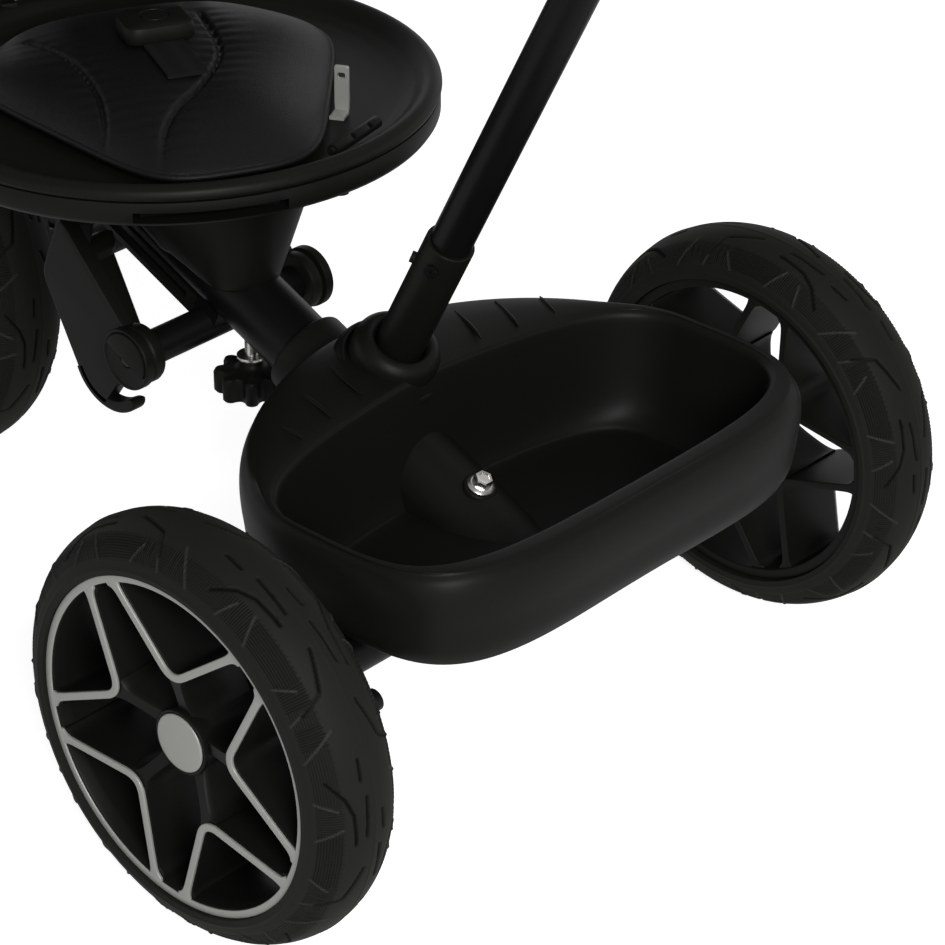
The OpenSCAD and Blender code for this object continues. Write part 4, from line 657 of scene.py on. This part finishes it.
t = once_round(288)
under_rows = [(0, 0, 0.02, -WALL), (0, 0, 0.5, -WALL), (0, -1, 0.8, -WALL), (0, -WALL, 0.88, 2),
              (0, -WALL, 0.94, 16)]
lip_rows = [
    (0, -WALL, 0.985, 8 - SKIRT, 0), (0, -WALL - 0.5, 1, -14, 0.5), (0.5, 0, 1, -11, 0.8),
    (1, WALL + 0.8, 1, -14, 1), (1, WALL + 5, 1, 8 - SKIRT, 0), (1, WALL + 8.5, 1, 0.3 - SKIRT, 0),
    (1, 9.5, 1, -0.4 - SKIRT, 0), (1, 7.4, 1, 1.5 - SKIRT, 0), (1, 3.8, 1, 10 - SKIRT, 0),
    (1, 2.0, 1, -34, 0.08), (1, 0.9, 1, -26, 0.3), (1, 0.4, 1, -18, 0.7), (1, 1.0, 1, -11, 1),
    (1, 3.2, 1, -5, 1), (1, 6.6, 1, -1.4, 1), (0.62, 0, 1, 0, 1), (0.3, 0, 1, 0, 0.8),
    (0, -3.4, 1, -0.6, 0.5), (0, -0.8, 1, -2.6, 0.5), (0, 0.3, 0.997, -7, 0.5), (0, 1, 0.985, -24, 0.25)]
inner_rows = [(0, 1, 0.955, 24), (0, 1, 0.925, 11), (0, 1, 0.88, 3.2), (0, 1, 0.82, 0.4), (0, 0, 0.5, 0),
              (0, 0, 0.02, 0)]
tray_rows = [tray_ring(t, *row, FLOOR_H + up) for *row, up in under_rows]
tray_rows += [tray_ring(t, *row, LIP_H + up, RISE * share) for *row, up, share in lip_rows]
tray_rows += [tray_ring(t, *row, FLOOR_H + up) for *row, up in inner_rows]
tray = smooth_rows(tray_rows, 5).transpose(1, 0, 2)


def on_tube(points):
    """From the rear tube's own frame, with Z forward along it, to the trike's."""
    return turned(points, "x", 90 - TUBE_SLOPE) + (0, 0, TUBE_FOOT_H)


HUMP_R = TUBE_R + 3.3
HUMP_LOW = FLOOR_H - 0.8
BOLT_RUN = 32
run = np.linspace(-24, 84, 40)[:, None]
arch = np.radians(np.linspace(-90, 90, 33))[None, :]
hump_x = HUMP_R * np.sin(arch) * (1 + 0.10 * np.abs(np.sin(arch)) ** 6)
hump = on_tube(np.stack(np.broadcast_arrays(hump_x, HUMP_R * np.cos(arch), run), -1))
hump[..., 2] = np.maximum(hump[..., 2], HUMP_LOW)
hump[:, [0, -1], 2] = HUMP_LOW
hump[..., 1] = np.maximum(hump[..., 1], -66.5)

HANDLE_AT, HANDLE_LEAN = 111.2, 27.5


def on_handle(points):
    """From the push handle's own frame, with Z up along it, to the trike's."""
    return turned(points, "x", -HANDLE_LEAN) + (0, -HANDLE_AT, TUBE_FOOT_H + HANDLE_AT * slope)


def on_bolt(points):
    """From the basket bolt's own frame, with Z out of the tube, to the trike's."""
    return on_tube(turned(points, "x", -90) + (0, 0, BOLT_RUN))


seat_ring = [(34, 24), (34, 36), (33.6, 42), (32.4, 46.5), (30.6, 48.8), (28.6, 48.6), (28.2, 46), (28.2, 20)]
boss = [(11.5, 19), (10.5, HUMP_R - 1), (9.6, HUMP_R + 0.5), (3.4, HUMP_R + 0.5), (3.4, 19)]
tray_grids = [(tray, TURNED), (hump, SHEET), (on_handle(spin(eased(seat_ring, 3, False))), SLEEVE),
              (on_bolt(spin(eased(boss, 0.8, False))), SLEEVE)]
k = np.linspace(0, 1, 20)
for t0, t1, m0, m1 in ((-123.2, -128, 0.70, 0.10), (-135.1, -142, 0.80, 0.16), (-146, -151, 0.85, 0.35),
                       (-70, -56, 0.64, 0.10), (-53.9, -42, 0.62, 0.14), (-38.2, -32.3, 0.56, 0.22)):
    mix = m0 + (m1 - m0) * k
    rib = tray_ring(np.radians(t0 + (t1 - t0) * k), mix, 0, 1, LIP_H + 0.1, RISE)
    rib[:, 2] -= 0.25 + 5.0 * np.clip(0.28 - mix, 0, 1)
    tray_grids.append((along(rib, 1.3 * np.sin(np.pi * np.clip(k, 0.03, 0.97)) ** 0.4, 12), BAR))
surface("basket", tray_grids, "frame", "black_plastic", 50)

finishes["steel"] = moulded("zinc_plate", (0.62, 0.61, 0.59), 0.28, 0.6, 0.01, metallic=1.0, drift=0.06)
washer = [(0.02, 0.55), (8.6, 0.55), (8.6, 1.5), (6.4, 2.8), (0.02, 2.8)]
hex_head = [(5.8, 2.6), (5.8, 7.0), (5.2, 7.8), (3.6, 8.0), (3.2, 7.3), (0.05, 7.3)]
bolt_grids = [(spin(eased(washer, 0.5, False)), TURNED), (spin(hex_head, 6), TURNED)]
surface("basket_bolt", placed(bolt_grids, lambda p: on_bolt(p + (0, 0, HUMP_R))), "frame", "steel", 25)

CLAMP_AT = 129 / np.cos(np.radians(TUBE_SLOPE)) + 8
clamp = eased([(0.05, 0), (5.2, 0), (6, 1.6), (6, 26.4), (5.2, 28), (0.05, 28)], 1.2)
clamp_skin = on_tube(spin(clamp + (TUBE_R, CLAMP_AT)))
surface("basket_clamp", [(clamp_skin, RING)], "frame", "black_plastic")

# Push handle: a round collar on the basket, a moulded sleeve that turns in it, and two telescopic tubes.
# A cross screw holds the fixed tube in the sleeve, a spring button stops the sliding one, and a grip ends it.
COLLAR_TOP, COLLAR_DEEP = TUBE_R + 45, 41
SLEEVE_R = 14.45
collar = [(SLEEVE_R + 0.9, -7), (SLEEVE_R + 1.2, -2.2), (17.6, 0), (19.6, 0.1), (22.5, -1.2), (25.4, -4.4),
          (26.8, -9), (27, -14), (27, -COLLAR_DEEP), (SLEEVE_R + 0.4, -COLLAR_DEEP), (SLEEVE_R + 0.4, -7)]
collar_skin = on_handle(spin(eased(collar, 1.6)) + (0, 0, COLLAR_TOP))
surface("handle_collar", [(collar_skin, RING)], "frame", "black_plastic")
sleeve = [(12.4, 151), (SLEEVE_R - 0.4, 151), (SLEEVE_R, 150.2), (SLEEVE_R, 31), (10.4, 30), (10, 28),
          (10, -5), (0.02, -5)]
sleeve_skin = on_handle(spin(eased(sleeve, 0.5, False)))
surface("handle_sleeve", [(sleeve_skin, TURNED)], "push_handle", "black_plastic")
outer_tube = [(10.2, 555), (10.2, 560), (12.1, 560), (12.3, 559.4), (12.3, 60), (10.2, 60)]
outer_skin = on_handle(spin(eased(outer_tube, 0.3, False), 64))
surface("handle_tube", [(outer_skin, SLEEVE)], "push_handle", "frame_paint")
inner_tube = [(0.02, 420), (10.0, 420), (10.0, 860), (0.02, 860)]
inner_skin = on_handle(spin(eased(inner_tube, 0.3, False), 64))
surface("sliding_tube", [(inner_skin, TURNED)], "handle_extension", "frame_paint")

CROSS_R, CROSS_HALF, CROSS_UP = 17, 130, 871
cross_ribs = np.stack([CROSS_R - 0.7 * (np.arange(31) % 2), np.linspace(-118, 118, 31)], 1)
cross_end = eased([(0.02, -CROSS_HALF), (CROSS_R - 2, -CROSS_HALF), (CROSS_R, 3 - CROSS_HALF)], 1.0, False)
cross_line = np.concatenate([cross_end, cross_ribs, cross_end[::-1] * (1, -1)])
cross_skin = on_handle(turned(spin(cross_line, 64), "y", 90) + (0, 0, CROSS_UP))
surface("cross_grip", [(cross_skin, TURNED)], "handle_extension", "grip_foam", 60)

# Pedestal: a tapered tub of moulded plastic that stands over the tube and carries the seat's turntable.
# A star knob on a zinc plated stud clamps it from below.
TUB_FOOT, TUB_TOP = 216.0, 314
SEAT_AT = 270.0
foot_h = TUBE_FOOT_H + TUB_FOOT * slope + 6


def two_circles(t, near_y, near_r, near_z, far_y, far_r, far_z):
    """The outline round two circles, each point on the circle that reaches further that way."""
    pick = far_y * np.sin(t) + far_r > near_y * np.sin(t) + near_r
    r = np.where(pick, far_r, near_r)
    return polar(r, t, np.where(pick, far_z, near_z)) + np.where(pick, far_y, near_y)[:, None] * (0, 1, 0)


def shrunk(ring, share, up):
    """A ring drawn in towards its middle, and lifted."""
    return ring.mean(0) + (ring - ring.mean(0)) * share + (0, 0, up)


t = once_round(144)
tub_low = two_circles(t, -TUB_FOOT, 25, foot_h, -TUB_FOOT - 34, 28, foot_h + 14)
tub_high = two_circles(t, -TUB_FOOT, 51, TUB_TOP, -SEAT_AT - 8, 60, TUB_TOP)
tub_rows = [shrunk(tub_low, f, up) for f, up in ((0.02, 0), (0.86, 0), (0.95, 0.8), (1, 3.2))]
tub_rows += [tub_low + (tub_high - tub_low) * f + (0, 0, 3.2 * (1 - f)) for f in (0.08, 0.3, 0.6, 0.9, 1.0)]
tub_rows += [shrunk(tub_high, f, 4) for f in (1, 0.97, 0.02)]
surface("pedestal", [(np.stack(tub_rows, 1), TURNED)], "frame", "black_plastic", 50)

KNOB_LOW, STUD_AT = 160.0, 208
a = once_round(240)
star = 20.6 + 2.9 * np.sign(np.cos(8 * a)) * np.abs(np.cos(8 * a)) ** 0.7
lobes = [(0.02, 1.5), (0.7, 1.2), (0.94, 0), (1, 1.6), (1, 13.5), (0.95, 15.6), (0.86, 16)]
knob_hub = [(11, 16.4), (8.4, 18), (7.2, 20.5), (7, 22.4), (6.4, 23), (4.2, 23)]
knob_rows = [polar(star * f, a, KNOB_LOW + h) for f, h in lobes]
knob_rows += [polar(r, a, KNOB_LOW + h) for r, h in knob_hub]
surface("star_knob", [(np.stack(knob_rows, 1) + (0, -STUD_AT, 0), TURNED)], "clamp_knob", "black_plastic", 40)

# Footrests: two folding rests of moulded plastic on a steel crossbar below the main tube.
# A cap with a stepped half face and a cross screw holds each one on the bar's end.
CROSSBAR_AT = TUB_FOOT / np.cos(np.radians(TUBE_SLOPE)) + 5.4
CROSSBAR_HALF = 72
pivot = on_tube(np.array([0.0, -(TUBE_R + 10.9), CROSSBAR_AT]))

cap_face = [(0.02, 3.2), (5.2, 3.2), (5.5, 5.4), (17.2, 5.4), (18.0, 6.4), (19.2, 6.3), (19.5, 5.4),
            (19.5, 0.1), (0.02, 0.1)]
half_turn = np.radians(np.linspace(0, 180, 40))
half_moon = np.stack([polar(r, half_turn, h)
                      for r, h in ((0.02, 5.3), (0.02, 7.3), (16.0, 7.3), (16.8, 6.9), (16.9, 5.3))], 1)
cap_grids = [(spin(eased(cap_face, 0.6, False)), TURNED), (half_moon, SHEET)]
caps = []
for side in (1, -1):
    cap_at = pivot + (side * CROSSBAR_HALF, 0, 0)
    caps += placed(cap_grids, lambda p: turned(turned(p, "y", 90), "x", 65) * (side, 1, 1) + cap_at)
surface("pivot_caps", caps, "frame", "black_plastic", 35)

REST_IN, REST_STEP, CHEEK_IN, REST_OUT = 24.5, 45.5, 61.5, 71.5
REST_HALF = 8.3
SIDE_CIRCLES = np.array([(-24, -14, 31.8), (-66, 30, 14.3), (-61, 65, 5.3)])
HOOK_AT, HOOK_R = SIDE_CIRCLES[0, :2], 28.0


def swept(line, section, share):
    """A section of (thick, across) points carried along an upright line, thinned by a share at each place."""
    return wall(line, section, 0.0, share)[..., [2, 0, 1]], BAR


def rest_bar(high, x0, x1):
    """A bar with round ends inside the front of three circles, up to a height, thinner at its top."""
    face = np.radians(np.linspace(238, 122, 700))
    way = np.stack([np.cos(face), np.sin(face)], -1)
    middle_r = np.maximum(SIDE_CIRCLES[:, 2] - REST_HALF, 0.3)
    circle = (way @ SIDE_CIRCLES[:, :2].T + middle_r).argmax(1)
    line = np.concatenate([SIDE_CIRCLES[circle, :2] + middle_r[circle, None] * way, [(-60.3, 69.8)]])
    top = np.interp(high, line[:, 1], run_of(line))
    stops = top * (1 - np.cos(np.linspace(0, np.pi, 72))) / 2
    line = picked(line, stops)
    near_end = np.maximum(1 - stops / REST_HALF, 1 - (top - stops) / 6).clip(0, 1)
    share = (1 - 0.4 * np.clip((line[:, 1] - 30) / 36, 0, 1)) * np.sqrt(1 - 0.98 * near_end ** 2)
    return swept(line, block(REST_HALF, x0, x1, 6), share)


turn = np.linspace(-np.pi, np.pi, 480, endpoint=False)
face = np.radians(np.arange(0, 360, 0.5))
reach = (np.stack([np.cos(face), np.sin(face)], -1) @ SIDE_CIRCLES[:, :2].T + SIDE_CIRCLES[:, 2]).max(1)
lean = np.cos(turn[:, None] - face)
side_r = np.where(lean > 0.02, reach / np.maximum(lean, 0.02), 1e9).min(1)
hook_gap = 18.5 + 15 * np.clip((-108 - np.degrees(turn)) / 16, 0, 1)
whole = (turn < np.radians(-124)) | (turn > 0)
side_r = np.maximum(18.5, np.where(whole, side_r, np.minimum(side_r, hook_gap)))
quarter = np.radians(np.linspace(0, 90, 7))
cheek_edge = [(CHEEK_IN, -90), (CHEEK_IN, -2), (CHEEK_IN + 0.6, -0.6), (CHEEK_IN + 2, 0)]
cheek_edge += [(REST_OUT - 3.5 + 3.5 * np.sin(q), 3.5 * np.cos(q) - 3.5) for q in quarter] + [(REST_OUT, -90)]
cheek = np.stack([polar(np.maximum(side_r + inset, 11), turn, x)[:, [2, 0, 1]] for x, inset in cheek_edge], 1)
hook_turn = np.radians(np.linspace(-158, -42, 48))
hook_line = HOOK_AT + HOOK_R * np.stack([np.cos(hook_turn), np.sin(hook_turn)], 1)
hook_share = np.sqrt(1 - 0.98 * np.clip((np.arange(48) - 41) / 6, 0, 1) ** 2)
rest_grids = [rest_bar(44, REST_IN, REST_STEP + 4), rest_bar(100, REST_STEP, REST_OUT - 0.5), (cheek, RING),
              swept(hook_line, block(3.7, CHEEK_IN, REST_OUT, 1.4), hook_share)]
for side, hand in ((1, "left"), (-1, "right")):
    rest = placed(rest_grids, lambda p: p * (side, 1, 1) + pivot)
    surface(hand + "_footrest", rest, hand + "_footrest_body", "black_plastic", 40)

# Seat: a round dish on a round base, both moulded, that swivels on the pedestal.
# Its cushion is crowned foam under leatherette, with piping round its edge and two sewn seams.
PARTING_H = 341.5
PAN_R = 161.0
SEAT_TURN = 154.0
PAD_LOW = 338.3
HINGE_Y, HINGE_H = 148.0, 361.0


def on_seat(points):
    """From the seat's own frame, with its front towards -Y, to the trike's."""
    return turned(points, "z", SEAT_TURN) + (0, -SEAT_AT, 0)


dish_edge = [(-4, -6.5), (-4, 0.3), (-0.8, 0.3), (0.6, 1.6), (1, 3.8), (-0.2, 7), (-3.4, 9), (-6.4, 9.2),
             (-10, 7.2), (-16, 1.2), (-24, -2.4), (-34, -3.4)]
dish = [(PAN_R + r, PARTING_H + h) for r, h in dish_edge]
dish = [(0.02, PARTING_H - 6.5)] + dish + [(0.02, PARTING_H - 3.5)]
dish_grids = [(spin(eased(dish, 2.2, False, 6), 192), TURNED)]
ear = turned(hoop(4.1, 9, 0, 10, 0.8, 48), "y", 90)
post = slab(block(9, 0, 16, 1) * (1, 0.45) + (HINGE_Y, PARTING_H + 3), (56.6, 66.4))
for side in (1, -1):
    dish_grids.append((ear * (side, 1, 1) + (side * 56.5, HINGE_Y, HINGE_H), RING))
    dish_grids.append((post * (side, 1, 1), BAR))
surface("seat_dish", placed(dish_grids, on_seat), "seat", "black_plastic", 45)


def leather(name):
    """Leatherette: small rounded pebbles with creases between them, and slow wear in its gloss."""
    made = Finish(bpy.data.materials.new(name))
    where = made.add("TexCoord", out="Object")
    pebble = made.add("TexVoronoi", {"feature": "DISTANCE_TO_EDGE"}, Vector=where, Scale=720.0)
    cloud = made.noise(16.0, 4.0)
    crease = (pebble * 6.0) ** 0.5
    tint = made.blend(cloud, (0.0042, 0.0042, 0.0042, 1), (0.0062, 0.0062, 0.0060, 1))
    relief = made.add("Bump", Strength=0.4, Distance=0.0002, Height=crease + cloud * 0.6)
    gloss = 0.5 + (cloud - 0.5) * 0.16 - crease * 0.06
    return made.shine(Base_Color=tint, Roughness=gloss, Normal=relief, Specular_IOR_Level=0.17)


finishes["leatherette"] = leather("leatherette")
PAD_SIDES = ((0, -1, 136), (0, 1, 112), (0.926, -0.378, 95.5), (-0.926, -0.378, 95.5), (0.809, 0.588, 118),
             (-0.809, 0.588, 118))
SEAMS = [[(-72, -104), (-62, -78), (-56, -54), (-53, -25), (-56, 15), (-70, 62)],
         [(-43, -128), (-30, -94), (-15, -70), (6, -47), (30, -5), (38, 60)]]


def cushion_edge(t):
    """Reach of a wedge made by six straight edges with soft corners."""
    total = 0
    for nx, ny, far in PAD_SIDES:
        total = total + (np.maximum(0, np.cos(t) * nx + np.sin(t) * ny) / far) ** 9
    return total ** (-1 / 9)


def near_line(x, y, line):
    """Distance from a smooth line drawn through a few points."""
    path = smooth_rows(np.asarray(line, float)[:, None, :], 30)[:, 0]
    path = path[np.linspace(0, len(path) - 1, 120).astype(int)]
    return np.sqrt(((x[..., None] - path[:, 0]) ** 2 + (y[..., None] - path[:, 1]) ** 2).min(-1))


def cushion_height(x, y, share):
    """Crowned top with two sewn seams and the soft puckers that run off them."""
    top = PAD_LOW + 6 + 20 * (1 - np.minimum(share, 1) ** 3.2) ** 0.6
    inside = 1 - np.minimum(share, 1) ** 6
    for line in SEAMS:
        gap = near_line(x, y, line)
        top = top - inside * (4.2 * np.exp(-(gap / 1.9) ** 2) + 1.2 * np.exp(-(gap / 9) ** 2))
        top = top + inside * 0.22 * np.exp(-(gap / 16) ** 2) * np.sin(y * 0.5 + x * 0.1)
    return top - inside * 0.5 * np.sin(x * 0.045 + 1) * np.sin(y * 0.04)


t = once_round(500)[:, None]
share = np.concatenate([np.linspace(0.02, 0.9, 110), np.linspace(0.915, 1, 14)])[None, :]
reach = cushion_edge(t) * share
top = polar(reach, t, cushion_height(reach * np.cos(t), reach * np.sin(t), share))
under = [polar(cushion_edge(t) * f, t, PAD_LOW + h) for f, h in ((0.99, 3), (0.95, 0.4), (0.5, 0), (0.02, 0))]
pad = np.concatenate([top] + under, 1)
rim_path = polar(cushion_edge(t) * 0.992, t, PAD_LOW + 6.2)[:, 0]
way = unit(np.roll(rim_path, -1, 0) - np.roll(rim_path, 1, 0))
outward = np.stack([way[:, 1], -way[:, 0], 0 * way[:, 0]], 1)
around = once_round(12)[None, :, None]
cord = outward[:, None] * np.cos(around) + np.array([0, 0, 1.0]) * np.sin(around)
pad_grids = [(pad, TURNED), (rim_path[:, None] + 2.1 * cord, RING)]
cushion = surface("seat_cushion", placed(pad_grids, on_seat), "seat", "leatherette", 80)

# Backrest: a moulded shell, part of a cone round the swivel axis, that turns on the recline pin.
# Its edge is rounded, and a shallow panel is sunk into its back.
SHELL_IN, SHELL_LOW, SHELL_HIGH, SHELL_HALF, SHELL_T = 142.0, 374.0, 681.0, 116.0, 8.0
SHELL_STEP = SHELL_LOW + 60
BACK_LEAN = np.tan(np.radians(10))


def on_shell(x, z, out):
    """A place on the cone from its distance to the side and its height, set outwards from the inner face."""
    r = SHELL_IN + (z - HINGE_H) * BACK_LEAN
    side_turn = np.arcsin(np.clip(x / r, -1, 1))
    return on_seat(np.stack([(r + out) * np.sin(side_turn), (r + out) * np.cos(side_turn), z], -1))


shell_edge = np.concatenate([
    eased([(SHELL_HALF, SHELL_STEP), (SHELL_HALF, SHELL_HIGH), (0, SHELL_HIGH)], 62, False, 30),
    eased([(0, SHELL_HIGH), (-SHELL_HALF, SHELL_HIGH), (-SHELL_HALF, SHELL_STEP)], 62, False, 30)[1:],
    eased([(-SHELL_HALF, SHELL_STEP), (-SHELL_HALF, SHELL_LOW), (0, SHELL_LOW)], 6, False, 8)[1:],
    eased([(0, SHELL_LOW), (SHELL_HALF, SHELL_LOW), (SHELL_HALF, SHELL_STEP)], 6, False, 8)[1:-1]])
shell_edge = np.concatenate([shell_edge, shell_edge[:1]])
shell_edge = picked(shell_edge, np.linspace(0, run_of(shell_edge)[-1], 240, endpoint=False))
shell_middle = np.array([0, (SHELL_LOW + SHELL_HIGH) / 2])
shell_profile = [(f, 0.0) for f in (0.98, 0.7, 0.4, 0.2, 0.06, 0.025)]
shell_profile += [(0.008, 0.7), (0, 2.5), (0, 5.5), (0.008, 7.3)]
shell_profile += [(f, SHELL_T) for f in (0.025, 0.06, 0.12)] + [(0.135, SHELL_T - 1.6)]
shell_profile += [(f, SHELL_T - 1.8) for f in (0.15, 0.4, 0.7, 0.98)]
shell_rows = []
for inset, out in shell_profile:
    row = shell_edge + (shell_middle - shell_edge) * inset
    shell_rows.append(on_shell(row[:, 0], row[:, 1], out))
lug = slab(block(4.5, -2, 22, 1.2) + (SHELL_IN + 6.5, HINGE_H), (-36, 36))
barrel = turned(hoop(4.1, 8, -56, 56, 0.8, 64), "y", 90) + (0, HINGE_Y, HINGE_H)
shell_grids = [(np.stack(shell_rows, 1), TURNED)] + placed([(lug, BAR), (barrel, RING)], on_seat)
surface("backrest", shell_grids, "backrest_body", "black_plastic", 45)

# Backrest cushion and harness: a crowned pad on the shell, two shoulder straps, a crotch strap and a buckle.
# The straps are woven polyester with a bound edge, and a silver strap anchor stands beside the seat cushion.
BACK_MIDDLE, BACK_HALF = 520.5, 134.5


def on_back(u, v, off):
    """A place on the backrest from its share across and up, set off towards the child."""
    h = BACK_MIDDLE + v * BACK_HALF
    return on_seat(polar(SHELL_IN + (h - HINGE_H) * BACK_LEAN - off, np.pi / 2 + np.radians(40) * u, h))


def back_swell(u, v, share):
    """Crowned pad with two upright channels and three shallow cross quilts."""
    swell = 7 + 17 * (1 - np.minimum(share, 1) ** 3.4) ** 0.6
    inside = 1 - np.minimum(share, 1) ** 4
    swell = swell - inside * 3.5 * np.exp(-((np.abs(u) - 0.4) / 0.06) ** 2)
    return swell - inside * 0.8 * np.cos(v * 9) ** 8


t = once_round(200)[:, None]
edge = (np.abs(np.cos(t)) ** 4 + np.abs(np.sin(t)) ** 4) ** -0.25
share = np.concatenate([np.linspace(0.02, 0.9, 50), np.linspace(0.92, 1, 10)])[None, :]
u, v = edge * share * np.cos(t), edge * share * np.sin(t)
back_rows = [on_back(u, v, back_swell(u, v, share) + 0.5)]
back_rows += [on_back(edge * f * np.cos(t), edge * f * np.sin(t), off)
              for f, off in ((0.985, 3.2), (0.93, 0.9), (0.5, 0.9), (0.02, 0.9))]
k = once_round(12)[None, :]
rim = edge * (1 + 0.012 * np.cos(k))
back_piping = on_back(rim * np.cos(t), rim * np.sin(t), 7.5 + 1.8 * np.sin(k))
back_grids = [(np.concatenate(back_rows, 1), TURNED), (back_piping, RING)]
back = surface("back_cushion", back_grids, "backrest_body", "leatherette", 80)


def woven(name):
    """Webbing: a diagonal twill in the piece's own UV map."""
    made = Finish(bpy.data.materials.new(name))
    length, width = made.across()
    ridge = (length * 420.0 + width * 60.0).join("SINE", 0.0)
    thread = (width * 170.0).join("SINE", 0.0)
    cloth = ridge * 0.35 + thread * 0.25 + 0.5
    tint = made.blend(cloth, (0.004, 0.004, 0.004, 1), (0.012, 0.012, 0.0115, 1))
    relief = made.add("Bump", Strength=0.7, Distance=0.0004, Height=cloth)
    return made.shine(Base_Color=tint, Roughness=0.75 - cloth * 0.1, Normal=relief, Specular_IOR_Level=0.12)


finishes["webbing"] = woven("webbing")


def strap(centres, across, out):
    """A flat band with soft edges, carried along its centre line."""
    section = block(12.5, 0, 2, 0.9)[None]
    return centres[:, None] + across[:, None] * section[..., :1] + out[:, None] * section[..., 1:], BAR


straps = []
v = np.linspace(-0.55, 0.72, 40)
for side in (1, -1):
    u = 0 * v + side * 0.26
    swell = back_swell(u, v, np.maximum(np.abs(v), 0.26))
    base = on_back(u, v, swell + 1.6)
    inward = unit(on_back(u, v, swell + 2.6) - base)
    straps.append(strap(base, unit(np.cross(inward, np.gradient(base, axis=0))), inward))
surface("shoulder_straps", straps, "backrest_body", "webbing", 50)

y = np.linspace(-40, 10, 24)
line = np.stack([0 * y, y, cushion_height(0 * y, y, np.abs(y) / 136) + 0.9], -1)
crotch = strap(on_seat(line), on_seat(line + (1, 0, 0)) - on_seat(line), 0 * line + (0, 0, 1))
surface("crotch_strap", [crotch], "seat", "webbing", 50)

buckle_low = cushion_height(np.array([0.0]), np.array([10.0]), 0.07)[0] + 0.7
t = once_round(96)
buckle_r = oval(22, 17, 17, 5, 5, t)
case = [(0.02, 0.2), (0.9, 0.2), (0.97, 1.2), (1, 3), (0.985, 8), (0.93, 11), (0.82, 12.3)]
button = [(9.2, 13), (8.8, 12.2), (8.2, 12.2), (7.8, 13), (5, 13.3), (0.1, 13.4)]
buckle_rows = [polar(buckle_r * f, t, h) for f, h in case] + [polar(r, t, h) for r, h in button]
buckle = on_seat(np.stack(buckle_rows, 1) + (0, 27.2, buckle_low))
surface("harness_fittings", [(buckle, TURNED)], "seat", "black_plastic", 35, "harness_buckle_skin")

ANCHOR_AT, ANCHOR_TURN = (107.5, 0, 338.35), -37.2
plate_r, slot_r = oval(4.5, 24, 6, 9, 9, t), oval(2.5, 2, 2, 4, 4, t)
plate_edge = [(slot_r, -1.25), (plate_r - 0.5, -1.25), (plate_r, -0.8)]
plate_edge += [(r, -w) for r, w in plate_edge[::-1]]
plate_rows = [polar(r, t, w)[:, [0, 2, 1]] + (0, 0, 24) for r, w in plate_edge]
foot = slab(block(4.5, 0, 2.5, 0.6), (-11.25, -1))[..., [1, 0, 2]]
anchor = placed([(np.stack(plate_rows, 1), RING), (foot, BAR)],
                lambda p: on_seat(turned(p + ANCHOR_AT, "z", ANCHOR_TURN)))
surface("harness_fittings", anchor, "seat", "silver_trim", 35, "harness_anchor_skin")

# Closing: the solids that stay as they are take the finish of their slot, with their edges eased.
black_screw = moulded("black_oxide", (0.02, 0.02, 0.02), 0.3, 0.6, 0.01, metallic=0.8, drift=0.1)
# The swivel lever is near black, matt and without gloss: painted shade, standing in for the deep dark slot it
# would sit back in.
lever_recess_shade = moulded("lever_recess_shade", (0.002, 0.002, 0.002), 0.7, 0.6, 0.01, drift=0.1, sheen=0.05)
own_finish = {"pivot_screws": black_screw, "sleeve_screw": black_screw, "swivel_lever": lever_recess_shade}
for row in frame["record"]["subparts"]:
    kept = frame["nodes"][row["node"]]
    kept.data.materials.clear()
    kept.data.materials.append(own_finish.get(row["node"], finishes[row["material_slot"]]))
    weld = kept.modifiers.new("weld", "WELD")
    weld.merge_threshold = 0.00002
    ease = kept.modifiers.new("ease", "BEVEL")
    ease.width = 0.0006
    ease.segments = 2
    ease.limit_method = "ANGLE"
    ease.angle_limit = np.radians(50)
